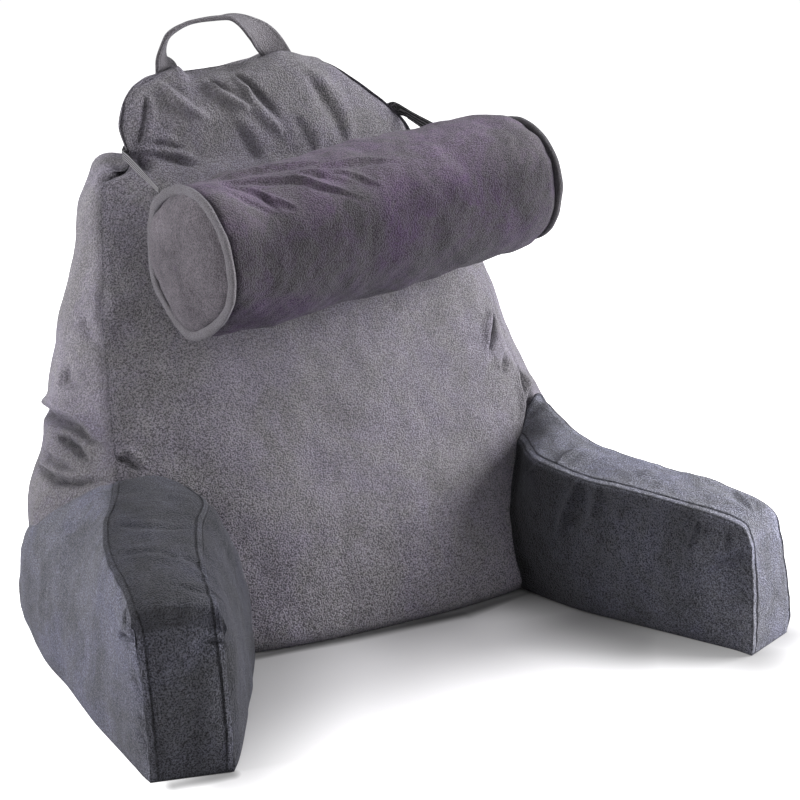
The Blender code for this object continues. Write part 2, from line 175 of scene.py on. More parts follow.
@dataclass(frozen=True)
class Crease:
    """A fold sunk along a line, with a raised lip on its sides.

    depth and width are of the trough, lip is the height of the swell beside it, and side says which
    side the swell stands on: +1 left of the line seen from outside, -1 right, 0 both. dark is how much
    painted shade the trough lays on the colour.
    """

    points: tuple[tuple[float, float, float], ...]
    width: float
    depth: float
    lip: float = 0.0
    side: int = 0
    dark: float = 0.55

    def sink(self, grid: Array, normals: Array, snap: bool = False) -> tuple[Array, Array]:
        """How far each point goes outward along its normal, and the painted shade of the trough there.

        The trough is -depth*exp(-(d/width)^2) and the swell lip*exp(-((d-2w)/1.4w)^2), where d is the
        distance to the line; both fade and narrow towards the ends of the line.

        Args:
            grid: rows by columns by 3.
            normals: the outward way at each point.
            snap: whether the line is moved onto the grid first.

        Returns:
            The lift and the painted shade of each point.
        """
        rows = np.array(self.points, float)
        line = smooth(np.arange(len(rows)), rows, np.linspace(0.0, len(rows) - 1.0, 14))
        if snap:
            flat = grid.reshape(-1, 3)
            line = np.array([flat[np.argmin(np.sum((flat - place) ** 2, axis=1))] for place in line])
            line[1:-1] = (line[:-2] + 2.0 * line[1:-1] + line[2:]) / 4.0
        reach = 5.0 * self.width + 0.003
        near = np.all((grid > line.min(axis=0) - reach) & (grid < line.max(axis=0) + reach), axis=-1)
        places, facing = grid[near], normals[near]
        seg = np.diff(line, axis=0)
        lengths = np.linalg.norm(seg, axis=1)
        starts = np.concatenate(((0.0,), np.cumsum(lengths)[:-1]))
        best = np.full(len(places), 1e9)
        run, hand = np.zeros(len(places)), np.zeros(len(places))
        for a, way, length, start in zip(line[:-1], seg, lengths, starts):
            off = places - a
            share = np.clip(off @ way / (length * length), 0.0, 1.0)
            gap = off - share[:, None] * way
            far = np.linalg.norm(gap, axis=-1)
            closer = far < best
            best = np.where(closer, far, best)
            run = np.where(closer, start + share * length, run)
            hand = np.where(closer, np.sum(np.cross(facing, way / length) * gap, axis=-1), hand)
        run = run / lengths.sum()
        fade = step(0.0, 0.22, run) * step(0.0, 0.30, 1.0 - run) * 0.9 + 0.1
        width = self.width * (0.5 + 0.5 * step(0.0, 0.40, run) * step(0.0, 0.45, 1.0 - run))
        trough = np.exp(-((best / width) ** 2))
        swell = self.lip * np.exp(-(((best - 2.0 * width) / (1.4 * width)) ** 2))
        if self.side:
            swell = swell * step(-0.4 * self.width, 0.8 * self.width, self.side * hand)
        lift, shade = np.zeros(grid.shape[:-1]), np.zeros(grid.shape[:-1])
        lift[near] = (swell - self.depth * trough) * fade
        # painted shade: the trough darkens the colour by dark
        shade[near] = self.dark * trough * fade
        return lift, shade


@dataclass(frozen=True)
class Swell:
    """A soft bump or dent round a place: height*exp(-|offset/reach|^2)."""

    place: tuple[float, float, float]
    reach: tuple[float, float, float]
    height: float

    def at(self, points: Array) -> Array:
        """Heights at points in metres."""
        off = (points - np.array(self.place)) / np.array(self.reach)
        return self.height * np.exp(-np.sum(off * off, axis=-1))


def folded(grid: Array, normals: Array, creases: tuple[Crease, ...],
           snap: bool = False) -> tuple[Array, Array]:
    """The lift of all creases together, and the strongest painted shade of their troughs.

    Args:
        grid: rows by columns by 3.
        normals: the outward way at each point.
        creases: the folds.
        snap: whether each line is moved onto the grid first.

    Returns:
        The lift and the painted shade of each point.
    """
    lift, shade = np.zeros(grid.shape[:-1]), np.zeros(grid.shape[:-1])
    for crease in creases:
        rise, dark = crease.sink(grid, normals, snap)
        lift += rise
        shade = np.maximum(shade, dark)
    return lift, shade


def path_offset(points: Array, path: Array) -> Array:
    """The distance of each point from a path: the least of its distances to the path's straight pieces.

    Args:
        points: places in any shape, by 3.
        path: the path's points in order.

    Returns:
        One distance for each place.
    """
    flat = points.reshape(-1, 3)
    best = np.full(len(flat), 1e9)
    for a, b in zip(path[:-1], path[1:]):
        way = b - a
        off = flat - a
        share = np.clip(off @ way / max(float(way @ way), 1e-12), 0.0, 1.0)
        best = np.minimum(best, np.linalg.norm(off - share[:, None] * way, axis=1))
    return best.reshape(points.shape[:-1])


# ---------------------------------------------------------------- meshes


def grid_faces(rows: int, columns: int, wraps: bool) -> Array:
    """The four corners of every face of a grid, numbered row by row.

    Args:
        rows: how many rows of points.
        columns: how many points in a row.
        wraps: whether the last column meets the first.

    Returns:
        One row of four point numbers for each face.
    """
    r = np.arange(rows - 1)[:, None]
    c = np.arange(columns if wraps else columns - 1)[None, :]
    n = (c + 1) % columns
    return np.stack((r * columns + c, r * columns + n, (r + 1) * columns + n, (r + 1) * columns + c),
                    axis=-1).reshape(-1, 4)


def add_mesh(name: str, points: Array, faces: list[Array], finish: bpy.types.Material,
             marks: dict[str, Array] | None = None) -> bpy.types.Object:
    """A shaded piece from points and faces.

    Args:
        name: the piece's name.
        points: one row a point.
        faces: arrays of faces, each with its own count of corners.
        finish: its material.
        marks: numbers kept on the points for the material to read.

    Returns:
        The object, linked to the scene.
    """
    mesh = bpy.data.meshes.new(name)
    mesh.from_pydata(points.tolist(), [], [f for group in faces for f in group.tolist()])
    for key, values in (marks or {}).items():
        attribute = mesh.attributes.new(key, "FLOAT", "POINT")
        attribute.data.foreach_set("value", np.asarray(values, np.float32).ravel())
    mesh.shade_smooth()
    mesh.materials.append(finish)
    mesh.update()
    piece = bpy.data.objects.new(name, mesh)
    bpy.context.scene.collection.objects.link(piece)
    return piece


def capped(grid: Array, low_rings: int = 0, high_rings: int = 0) -> tuple[Array, list[Array]]:
    """Points and faces of a closed tube: its grid, and flat rings that close in at either end.

    Args:
        grid: rows by columns by 3.
        low_rings: how many rings close the first row, each a share nearer to its middle.
        high_rings: the same for the last row.

    Returns:
        Points and faces.
    """
    low = [grid[0].mean(axis=0) + (grid[0] - grid[0].mean(axis=0)) * (k / (low_rings + 1))
           for k in range(1, low_rings + 1)]
    high = [grid[-1].mean(axis=0) + (grid[-1] - grid[-1].mean(axis=0)) * (1 - k / (high_rings + 1))
            for k in range(1, high_rings + 1)]
    rows = np.concatenate((np.array(low).reshape(-1, *grid.shape[1:]), grid,
                           np.array(high).reshape(-1, *grid.shape[1:])))
    count, columns = rows.shape[:2]
    points = np.vstack((rows.reshape(-1, 3), rows[0].mean(axis=0), rows[-1].mean(axis=0)))
    c = np.arange(columns)
    n = (c + 1) % columns
    bottom = np.stack((np.full(columns, count * columns), n, c), axis=-1)
    last = (count - 1) * columns
    top = np.stack((np.full(columns, count * columns + 1), last + c, last + n), axis=-1)
    return points, [grid_faces(count, columns, True), bottom, top]


@dataclass
class Marks:
    """Numbers kept on a grid's points for the plush to read.

    seam_off is the signed distance from the seam, hollow how much painted shade darkens the
    colour there, nap the painted light and shade there, a factor on the colour above 1
    where lit and below 1 where shaded, hue how much of the tint shows and fleece how strong the grain is.
    """

    seam_off: Array | float = 1.0
    hollow: Array | float = 0.0
    nap: Array | float = 1.0
    hue: Array | float = 1.0
    fleece: Array | float = 1.0

    def over(self, points: Array, shape: tuple[int, int], before: int = 0) -> dict[str, Array]:
        """The marks laid over all points of a piece.

        Args:
            points: the piece's points, the grid's among them.
            shape: rows and columns of the grid.
            before: how many rows of points stand before the grid.

        Returns:
            Each mark's numbers, one for each point.
        """
        marks = {}
        start = before * shape[1]
        for field in fields(self):
            values = np.full(len(points), field.default)
            laid = np.broadcast_to(getattr(self, field.name), shape)
            values[start:start + shape[0] * shape[1]] = laid.ravel()
            marks[field.name] = values
        return marks


# ---------------------------------------------------------------- finishes


class Cloth(Enum):
    """The finishes of the pillow."""

    FACE = "plush_face"
    ARM = "plush_arm"
    ROLL = "plush_roll"
    EDGE = "plush_edge"
    ELASTIC = "elastic"


class Nodes:
    """A short hand for shader nodes of one material."""

    def __init__(self, name: str) -> None:
        """Start a material with its Principled shader.

        Args:
            name: the material's name.
        """
        self.material = bpy.data.materials.new(name)
        self.material.use_nodes = True
        self.tree = self.material.node_tree
        self.shader = self.tree.nodes["Principled BSDF"]
        self.place = self.tree.nodes.new("ShaderNodeTexCoord").outputs["Object"]

    def put(self, socket: bpy.types.NodeSocket, value: object) -> None:
        """Link a socket, or set its number or colour.

        Args:
            socket: the input.
            value: a socket to link, or what to set.
        """
        if isinstance(value, bpy.types.NodeSocket):
            self.tree.links.new(value, socket)
        else:
            socket.default_value = value

    def math(self, kind: str, *values: object, clamp: bool = False) -> bpy.types.NodeSocket:
        """One Math node.

        Args:
            kind: its operation.
            values: numbers or sockets to work on.
            clamp: whether the result is kept between 0 and 1.

        Returns:
            The result's socket.
        """
        node = self.tree.nodes.new("ShaderNodeMath")
        node.operation = kind
        node.use_clamp = clamp
        for socket, value in zip(node.inputs, values):
            self.put(socket, value)
        return node.outputs[0]

    def noise(self, scale: float, detail: float = 2.0, rough: float = 0.5, warp: float = 0.0,
              place: bpy.types.NodeSocket | None = None) -> bpy.types.NodeSocket:
        """Cloudy noise.

        Args:
            scale: waves in a metre.
            detail: how many finer layers.
            rough: how strong each finer layer is.
            warp: how much the noise is bent.
            place: where it is read, or nothing for the object's own place.

        Returns:
            The noise's socket, from 0 to 1.
        """
        node = self.tree.nodes.new("ShaderNodeTexNoise")
        self.put(node.inputs["Vector"], place or self.place)
        for key, value in (("Scale", scale), ("Detail", detail), ("Roughness", rough), ("Distortion", warp)):
            node.inputs[key].default_value = value
        return node.outputs["Fac"]

    def stretched(self, scale: tuple[float, float, float],
                  turn: tuple[float, float, float] = (0.0, 0.0, 0.0)) -> bpy.types.NodeSocket:
        """The place, turned and stretched, for streaks.

        Args:
            scale: how much each axis is stretched.
            turn: the turn about each axis.

        Returns:
            The place's socket.
        """
        node = self.tree.nodes.new("ShaderNodeMapping")
        self.put(node.inputs["Vector"], self.place)
        node.inputs["Rotation"].default_value = turn
        node.inputs["Scale"].default_value = scale
        return node.outputs[0]

    def spread(self, value: object, low: float, high: float, out_low: float = 0.0,
               out_high: float = 1.0) -> bpy.types.NodeSocket:
        """A value mapped smoothly from one range to another and kept inside it.

        Args:
            value: what is mapped.
            low: where the first range begins.
            high: where it ends.
            out_low: where the second range begins.
            out_high: where it ends.

        Returns:
            The mapped value's socket.
        """
        node = self.tree.nodes.new("ShaderNodeMapRange")
        node.interpolation_type = "SMOOTHSTEP"
        for key, number in (("Value", value), ("From Min", low), ("From Max", high), ("To Min", out_low),
                            ("To Max", out_high)):
            self.put(node.inputs[key], number)
        return node.outputs["Result"]

    def mix(self, share: object, first: object, second: object, kind: str = "MIX") -> bpy.types.NodeSocket:
        """A mix of two colours.

        Args:
            share: how much of the second shows.
            first: a colour or its socket.
            second: a colour or its socket.
            kind: the way of mixing.

        Returns:
            The colour's socket.
        """
        node = self.tree.nodes.new("ShaderNodeMix")
        node.data_type = "RGBA"
        node.blend_type = kind
        for key, value in ((0, share), (6, first), (7, second)):
            self.put(node.inputs[key], value)
        return node.outputs[2]

    def mark(self, name: str) -> bpy.types.NodeSocket:
        """A number kept on the piece's points.

        Args:
            name: the mark's name.

        Returns:
            Its socket.
        """
        node = self.tree.nodes.new("ShaderNodeAttribute")
        node.attribute_name = name
        return node.outputs["Fac"]

    def bump(self, height: object, distance: float, strength: float = 1.0,
             under: bpy.types.NodeSocket | None = None) -> bpy.types.NodeSocket:
        """Relief that only the light sees.

        Args:
            height: its height in shares of the distance.
            distance: the height of a full share, in metres.
            strength: how much of it shows.
            under: the relief that it lies on.

        Returns:
            The normal's socket.
        """
        node = self.tree.nodes.new("ShaderNodeBump")
        node.inputs["Strength"].default_value = strength
        node.inputs["Distance"].default_value = distance
        self.put(node.inputs["Height"], height)
        if under is not None:
            self.put(node.inputs["Normal"], under)
        return node.outputs["Normal"]


@dataclass(frozen=True)
class Plush:
    """Short-pile plush: brushed patches, a fleecy grain, a soft sheen and sewn seams.

    grain is how strong the pile's light and dark is and grain_scale how many tufts stand in a metre,
    pebble is the relief of the pile in metres, mottle how strong the brushed patches are, band how wide
    the flat band of a felled seam is, and fold_dark how far the painted shade darkens the
    colour.
    """

    name: str
    grey: tuple[float, float, float]
    tint: tuple[float, float, float]
    tint_share: float
    grain: float
    grain_scale: float
    sheen: float = 0.35
    pebble: float = 0.0013
    mottle: float = 0.20
    band: float = 0.0064
    stitch_dark: float = 0.54
    fold_dark: float = 0.75
    band_light: float = 0.26

    def build(self) -> bpy.types.Material:
        """The material: its colour from patches, streaks and grain, its relief from grain and seams.

        The colour goes from grey to tint by the patches. It is then multiplied by the grain, by the
        brushed patches and streaks, by the painted light and shade of the nap mark, and
        by what the stitches and the painted shade of the hollow mark take away and a seam's flat band
        adds.

        Returns:
            The material.
        """
        n = Nodes(self.name)
        patches = n.spread(n.noise(13.0, 4.0, 0.6, 0.8), 0.38, 0.62)
        small = n.spread(n.noise(46.0, 4.0, 0.65, 1.4), 0.36, 0.64)
        hue = n.math("ADD", n.math("MULTIPLY", patches, 0.6), n.math("MULTIPLY", small, 0.4))
        hue = n.math("MULTIPLY", n.math("MULTIPLY", hue, self.tint_share), n.mark("hue"))
        colour = n.mix(hue, (*self.grey, 1.0), (*self.tint, 1.0))
        grain = n.noise(self.grain_scale, 1.0, 0.5)
        fine = n.noise(self.grain_scale * 2.1, 1.0, 0.5)
        pile = n.spread(n.math("ADD", n.math("MULTIPLY", grain, 0.72), n.math("MULTIPLY", fine, 0.28)),
                        0.36, 0.64)
        loose = n.math("MULTIPLY", n.math("SUBTRACT", pile, 0.5), 2.0 * self.grain)
        shade = n.math("ADD", n.math("MULTIPLY", loose, n.mark("fleece")), 1.0)
        streaks = n.stretched((44.0, 30.0, 10.0), (0.5, 0.35, 0.0))
        brushed = n.spread(n.noise(1.0, 3.0, 0.6, 0.5, streaks), 0.38, 0.62)
        nap = n.math("ADD", n.math("MULTIPLY", patches, self.mottle),
                     n.math("MULTIPLY", small, 0.6 * self.mottle))
        nap = n.math("ADD", nap, n.math("MULTIPLY", brushed, 0.7 * self.mottle))
        shade = n.math("MULTIPLY", shade, n.math("ADD", nap, 1.0 - 1.15 * self.mottle))
        # painted light and shade: the piece's mark on this line makes the colour lighter where the piece is
        # lit and darker where it is shaded
        shade = n.math("MULTIPLY", shade, n.mark("nap"))
        seam = n.mark("seam_off")
        stitch = n.math("ADD", self.line(n, seam, 0.0, 0.0011), self.line(n, seam, self.band, 0.0010),
                        clamp=True)
        shade = n.math("MULTIPLY", shade,
                       n.math("SUBTRACT", 1.0, n.math("MULTIPLY", stitch, self.stitch_dark)))
        # painted shade: the piece's shade mark darkens the colour in folds, pinches, seam grooves, puckers
        # and along sewn ends, broken up by streaky noise
        rough = n.noise(1.0, 3.0, 0.6, 0.3, n.stretched((150.0, 90.0, 210.0)))
        broken = n.spread(rough, 0.36, 0.64, 0.62, 1.22)
        deep = n.math("MULTIPLY", n.math("MULTIPLY", n.mark("hollow"), self.fold_dark), broken, clamp=True)
        shade = n.math("MULTIPLY", shade, n.math("SUBTRACT", 1.0, deep))
        band = n.math("MULTIPLY", n.spread(seam, 0.0004, 0.0016), n.spread(seam, 0.0066, 0.0050))
        shade = n.math("MULTIPLY", shade, n.math("ADD", n.math("MULTIPLY", band, self.band_light), 1.0))
        bright = n.tree.nodes.new("ShaderNodeVectorMath")
        bright.operation = "SCALE"
        n.put(bright.inputs[0], colour)
        n.put(bright.inputs["Scale"], shade)
        n.put(n.shader.inputs["Base Color"], bright.outputs[0])
        relief = n.math("SUBTRACT", n.math("MULTIPLY", band, 0.7), stitch)
        low = n.bump(relief, 0.0016, 1.0)
        n.put(n.shader.inputs["Normal"], n.bump(pile, self.pebble, 0.85, low))
        n.put(n.shader.inputs["Roughness"], n.spread(pile, 0.0, 1.0, 0.94, 0.84))
        n.shader.inputs["Specular IOR Level"].default_value = 0.25
        n.shader.inputs["Sheen Weight"].default_value = self.sheen
        n.shader.inputs["Sheen Roughness"].default_value = 0.45
        n.shader.inputs["Sheen Tint"].default_value = (0.86, 0.86, 1.0, 1.0)
        return n.material

    @staticmethod
    def line(n: Nodes, seam: bpy.types.NodeSocket, at: float, width: float) -> bpy.types.NodeSocket:
        """A soft dark line beside the seam: 1 on it and 0 a width away.

        Args:
            n: the material's nodes.
            seam: the distance from the seam.
            at: where the line runs.
            width: its half width.

        Returns:
            The line's socket.
        """
        off = n.math("ABSOLUTE", n.math("SUBTRACT", seam, at))
        return n.spread(off, width, width * 0.15)


@dataclass(frozen=True)
class Ribbed:
    """Woven elastic: lengthwise ribs under a fine cross weave."""

    name: str
    dark: tuple[float, float, float]
    light: tuple[float, float, float]
    ribs: int = 4
    pick: float = 0.0011

    def build(self) -> bpy.types.Material:
        """The material: ribs and picks from the band's own marks.

        A rib is |sin(ribs*pi*across)| and a pick |sin(pi*along/pick)|; the light threads show where
        0.85 of the one and 0.15 of the other add up high.

        Returns:
            The material.
        """
        n = Nodes(self.name)
        across, along = n.mark("across"), n.mark("along")
        rib = n.math("ABSOLUTE", n.math("SINE", n.math("MULTIPLY", across, self.ribs * math.pi)))
        pick = n.math("ABSOLUTE", n.math("SINE", n.math("MULTIPLY", along, math.pi / self.pick)))
        lit = n.math("ADD", n.math("MULTIPLY", rib, 0.85), n.math("MULTIPLY", pick, 0.15))
        colour = n.mix(n.spread(lit, 0.66, 0.97), (*self.dark, 1.0), (*self.light, 1.0))
        bright = n.tree.nodes.new("ShaderNodeVectorMath")
        bright.operation = "SCALE"
        n.put(bright.inputs[0], colour)
        # painted light and shade: the band's mark makes the colour lighter where lit and darker where shaded
        n.put(bright.inputs["Scale"], n.mark("nap"))
        n.put(n.shader.inputs["Base Color"], bright.outputs[0])
        n.put(n.shader.inputs["Normal"], n.bump(lit, 0.0006, 0.9))
        n.put(n.shader.inputs["Roughness"], n.spread(pick, 0.0, 1.0, 0.7, 0.5))
        return n.material


# ---------------------------------------------------------------- backrest


@dataclass(frozen=True)
class BackrestRow:
    """One level of the backrest.

    left and right are the face seams' places, seam_y how far back they lie, crown how far the face
    stands before them, bulge how far the sides swell and back_y where the back is.
    """

    z: float
    left: float
    right: float
    seam_y: float
    crown: float
    bulge: float
    back_y: float


@dataclass
class Backrest:
    """The stuffed wedge with its pinched head.

    levels, front, side and back are counts of places up, across the face, along a side and round the
    back. head_row is the row where the head begins, which takes the levels above body_share of them.
    """

    finish: bpy.types.Material
    levels: int = 250
    front: int = 150
    side: int = 44
    back: int = 120
    head_row: int = 10
    body_share: float = 0.68
    face_power: float = 2.6
    back_power: float = 2.3
    side_widest: float = 0.30
    base_rings: int = 6
    crest_rings: int = 2
    seam_sink: float = 0.0022
    seam_reach: float = 0.006
    foot: float = 0.025
    rows: tuple[BackrestRow, ...] = (
        BackrestRow(0.000, -0.232, 0.205, -0.098, 0.034, 0.040, 0.172),
        BackrestRow(0.012, -0.240, 0.213, -0.103, 0.038, 0.050, 0.186),
        BackrestRow(0.045, -0.246, 0.217, -0.088, 0.044, 0.060, 0.196),
        BackrestRow(0.100, -0.245, 0.210, -0.056, 0.046, 0.060, 0.203),
        BackrestRow(0.158, -0.236, 0.206, -0.021, 0.044, 0.050, 0.205),
        BackrestRow(0.214, -0.229, 0.206, 0.013, 0.042, 0.040, 0.206),
        BackrestRow(0.256, -0.223, 0.206, 0.039, 0.040, 0.030, 0.206),
        BackrestRow(0.295, -0.216, 0.202, 0.062, 0.038, 0.019, 0.206),
        BackrestRow(0.338, -0.206, 0.193, 0.088, 0.034, 0.010, 0.205),
        BackrestRow(0.375, -0.197, 0.182, 0.109, 0.030, 0.004, 0.203),
        BackrestRow(0.403, -0.186, 0.170, 0.124, 0.026, -0.002, 0.200),
        BackrestRow(0.416, -0.163, 0.155, 0.131, 0.022, -0.008, 0.196),
        BackrestRow(0.427, -0.164, 0.153, 0.134, 0.022, -0.010, 0.195),
        BackrestRow(0.445, -0.168, 0.142, 0.138, 0.022, -0.010, 0.195),
        BackrestRow(0.463, -0.163, 0.122, 0.143, 0.020, -0.010, 0.194),
        BackrestRow(0.480, -0.152, 0.100, 0.148, 0.016, -0.009, 0.192),
        BackrestRow(0.490, -0.138, 0.086, 0.152, 0.013, -0.007, 0.189),
        BackrestRow(0.498, -0.112, 0.070, 0.158, 0.010, -0.005, 0.184),
        BackrestRow(0.502, -0.090, 0.056, 0.164, 0.006, -0.003, 0.178),
    )
    creases: tuple[Crease, ...] = (
        Crease(((-.120, .147, .488), (-.106, .139, .474), (-.092, .132, .461), (-.074, .126, .446)),
               0.0040, 0.0074, 0.0060, -1, 0.22),
        Crease(((-.074, .144, .494), (-.060, .136, .480), (-.046, .131, .465), (-.030, .126, .452)),
               0.0040, 0.0086, 0.0070, -1, 0.26),
        Crease(((-.038, .137, .487), (-.024, .127, .467), (-.010, .121, .444), (-.002, .117, .428)),
               0.0046, 0.0070, 0.0050, -1, 0.20),
        Crease(((-.046, .143, .496), (-.034, .136, .483), (-.026, .132, .472)),
               0.0030, 0.0045, 0.0024, -1, 0.20),
        Crease(((.026, .136, .490), (.046, .125, .462), (.058, .118, .430), (.063, .115, .410)),
               0.0080, 0.0044, 0.0028, 1, 0.08),
        Crease(((.006, .120, .452), (.018, .112, .426), (.027, .108, .404)),
               0.0066, 0.0024, 0.0018, 1, 0.07),
        Crease(((-.060, .125, .454), (-.044, .114, .424), (-.030, .104, .398)),
               0.0062, 0.0030, 0.0022, 1, 0.07),
        Crease(((-.112, .150, .495), (-.138, .148, .485), (-.151, .143, .466), (-.157, .139, .446),
                (-.158, .136, .424)), 0.0016, 0.0014, 0.0006, 0, 0.16),
        Crease(((-.136, .147, .480), (-.140, .139, .461), (-.148, .134, .435), (-.155, .136, .412)),
               0.0038, 0.0100, 0.0040, 0, 0.62),
        Crease(((-.156, .133, .420), (-.132, .126, .416), (-.114, .117, .411), (-.090, .106, .403)),
               0.0042, 0.0060, 0.0042, 1, 0.24),
        Crease(((-.153, .132, .417), (-.145, .111, .397)), 0.0050, 0.0060, 0.0020, 0, 0.5),
        Crease(((-.146, .125, .432), (-.128, .123, .428), (-.108, .118, .424)),
               0.0034, 0.0030, 0.0024, 1, 0.22),
    )
    side_creases: tuple[Crease, ...] = (
        Crease(((.199, .032, .252), (.191, .024, .239), (.182, .015, .227), (.167, -.004, .211)),
               0.0042, 0.0085, 0.0050, -1, 0.62),
        Crease(((.176, -.016, .190), (.190, .004, .205)), 0.0045, 0.0040, 0.0030, 1, 0.25),
        Crease(((.230, .012, .180), (.224, .004, .172), (.212, -.013, .162), (.199, -.029, .151),
                (.184, -.046, .135)), 0.0050, 0.0110, 0.0040, -1, 0.95),
        Crease(((-.166, .129, .412), (-.175, .123, .405), (-.181, .122, .402), (-.188, .123, .398),
                (-.192, .123, .390)), 0.0042, 0.0060, 0.0020, 0, 0.90),
        Crease(((.214, -.004, .196), (.205, -.020, .176), (.197, -.030, .160)),
               0.0040, 0.0050, 0.0030, 0, 0.40),
        Crease(((-.280, .135, .186), (-.278, .094, .189), (-.269, .045, .193), (-.258, .026, .188),
                (-.249, .012, .181), (-.239, -.004, .174)), 0.0052, 0.0120, 0.0050, 1, 0.85),
        Crease(((-.272, .042, .179), (-.261, .019, .173), (-.257, .008, .167), (-.251, -.004, .160)),
               0.0044, 0.0092, 0.0042, 1, 0.80),
        Crease(((-.290, .060, .162), (-.276, .020, .157), (-.262, .000, .152)),
               0.0040, 0.0050, 0.0030, 1, 0.40),
        Crease(((-.290, .068, .148), (-.286, .028, .146), (-.279, .012, .143), (-.265, -.004, .145),
                (-.244, -.020, .149)), 0.0038, 0.0090, 0.0040, 1, 0.85),
        Crease(((-.234, -.014, .169), (-.222, -.024, .163), (-.213, -.034, .156)),
               0.0034, 0.0060, 0.0030, 1, 0.60),
        Crease(((-.250, .060, .238), (-.257, .053, .227), (-.244, .034, .221)),
               0.0060, 0.0040, 0.0030, 0, 0.30),
        Crease(((-.226, .040, .330), (-.232, .030, .300)), 0.0060, 0.0030, 0.0020, 1, 0.15),
        Crease(((-.254, .060, .300), (-.246, .040, .275), (-.240, .018, .262)),
               0.0070, 0.0036, 0.0026, 1, 0.15),
    )
    swells: tuple[Swell, ...] = (
        Swell((-.176, .168, .410), (.022, .020, .012), 0.016),
        Swell((-.200, .146, .402), (.020, .018, .010), 0.005),
        Swell((-.205, .160, .380), (.030, .060, .034), 0.011),
        Swell((.240, .050, .240), (.060, .090, .100), -0.009),
        Swell((-.285, .090, .245), (.050, .090, .080), -0.004),
        Swell((-.100, .150, .496), (.018, .012, .010), 0.003),
        Swell((-.168, .130, .406), (.009, .012, .007), -0.008),
    )
    crest: tuple[tuple[float, ...], tuple[float, ...]] = (
        (-0.20, -0.149, -0.124, -0.108, -0.100, -0.089, -0.060, -0.016, 0.011, 0.050, 0.090, 0.15),
        (0.0, 0.000, 0.001, 0.001, 0.003, -0.006, -0.004, 0.001, 0.008, 0.003, 0.0, 0.0))

    def heights(self) -> Array:
        """The levels' heights: even up the body, then shared between the rows of the head.

        Returns:
            One height for each level.
        """
        head = np.array([row.z for row in self.rows[self.head_row:]])
        low = np.linspace(0.0, head[0], int(self.levels * self.body_share), endpoint=False)
        return np.concatenate((low, spread(head, self.levels - len(low))))

    def outlines(self, heights: Array, front: int, side: int, back: int) -> Array:
        """The outlines at all heights at once.

        Across the front, x = middle + half*sin(t) and y = seam - crown*(1 - |sin t|^face_power).  A
        side swells by bulge*sin(s*pi/2) over the first share of the depth, up to its widest place.
        The back is a superellipse of back_power.

        Args:
            heights: one for each outline.
            front: places across the front panel.
            side: places along a side.
            back: places round the back.

        Returns:
            heights by places by 3, anticlockwise from the left face seam.
        """
        table = np.array([astuple(row) for row in self.rows])
        left, right, seam_y, crown, bulge, back_y = smooth(table[:, 0], table[:, 1:], heights).T[:, :, None]
        middle, half, depth = (left + right) / 2, (right - left) / 2, back_y - seam_y
        across = np.sin(np.linspace(-1.0, 1.0, front + 1) * math.pi / 2)[None]
        xs = [middle + half * across]
        ys = [seam_y - crown * (1 - np.abs(across) ** self.face_power)]
        share = (np.linspace(0.0, 1.0, side + 1)[1:] ** 1.4)[None]
        swell = half + bulge * np.sin(share * math.pi / 2)
        run = seam_y + self.side_widest * depth * share
        turn = np.linspace(0.0, math.pi, back + 1)[1:]
        cosine, sine = np.cos(turn)[None], np.sin(turn)[None]
        widest = run[:, -1:]
        xs += [middle + swell,
               middle + (half + bulge) * np.sign(cosine) * np.abs(cosine) ** (2 / self.back_power),
               (middle - swell)[:, :-1][:, ::-1]]
        ys += [run, widest + (back_y - widest) * np.abs(sine) ** (2 / self.back_power),
               run[:, :-1][:, ::-1]]
        x, y = (np.concatenate([np.broadcast_to(v, (len(heights), v.shape[1])) for v in part], axis=1)
                for part in (xs, ys))
        return np.stack((x, y, np.broadcast_to(heights[:, None], x.shape)), axis=-1)

    def build(self) -> bpy.types.Object:
        """The cover: outlines, rounded seams, creases and stuffing lumps.

        The seams are drawn in by seam_sink*exp(-(d/seam_reach)^2), where d is the distance to them, and
        nothing moves at the floor. Painted light makes the colour lighter on the left side and low on the
        face, and painted shade makes it darker by the left seam, on the head's right half and low on the
        left side; the creases, the deep pinches and the seams' grooves get painted shade too.

        Returns:
            The backrest.
        """
        grid = self.outlines(self.heights(), self.front, self.side, self.back)
        columns = np.arange(grid.shape[1])
        near = np.minimum(columns, np.abs(columns - self.front))
        near = np.minimum(near, grid.shape[1] - columns)
        grid = relaxed(grid, 6, 0.6 * np.exp(-(near / 9.0) ** 2)[None, :, None])
        grid[..., 2] = np.maximum(grid[..., 2], 0.0)
        seams = np.minimum(*(path_offset(grid, grid[4:-2:4, column]) for column in (0, self.front)))
        normals = grid_normals(grid)
        height = grid[..., 2]
        lift = Lumps(0.16, 0.0022, 3).at(grid) + Lumps(0.055, 0.0009, 4).at(grid)
        lift += Lumps(0.022, 0.00035, 5).at(grid)
        rise, dark = folded(grid, normals, self.creases)
        side_rise, side_dark = folded(grid, normals, self.side_creases, snap=True)
        dark = np.maximum(dark, side_dark)
        lift += rise + side_rise - self.seam_sink * np.exp(-((seams / self.seam_reach) ** 2))
        for swell in self.swells:
            lift += swell.at(grid)
        lift *= step(0.0, self.foot, height)
        grid = grid + normals * lift[..., None]
        x, z = grid[..., 0], grid[..., 2]
        crest = smooth(self.crest[0], self.crest[1], x.ravel()).reshape(x.shape)
        grid[..., 2] = z + crest * step(0.455, 0.500, z)
        points, faces = capped(grid, self.base_rings, self.crest_rings)
        on_front = (columns <= self.front)[None]
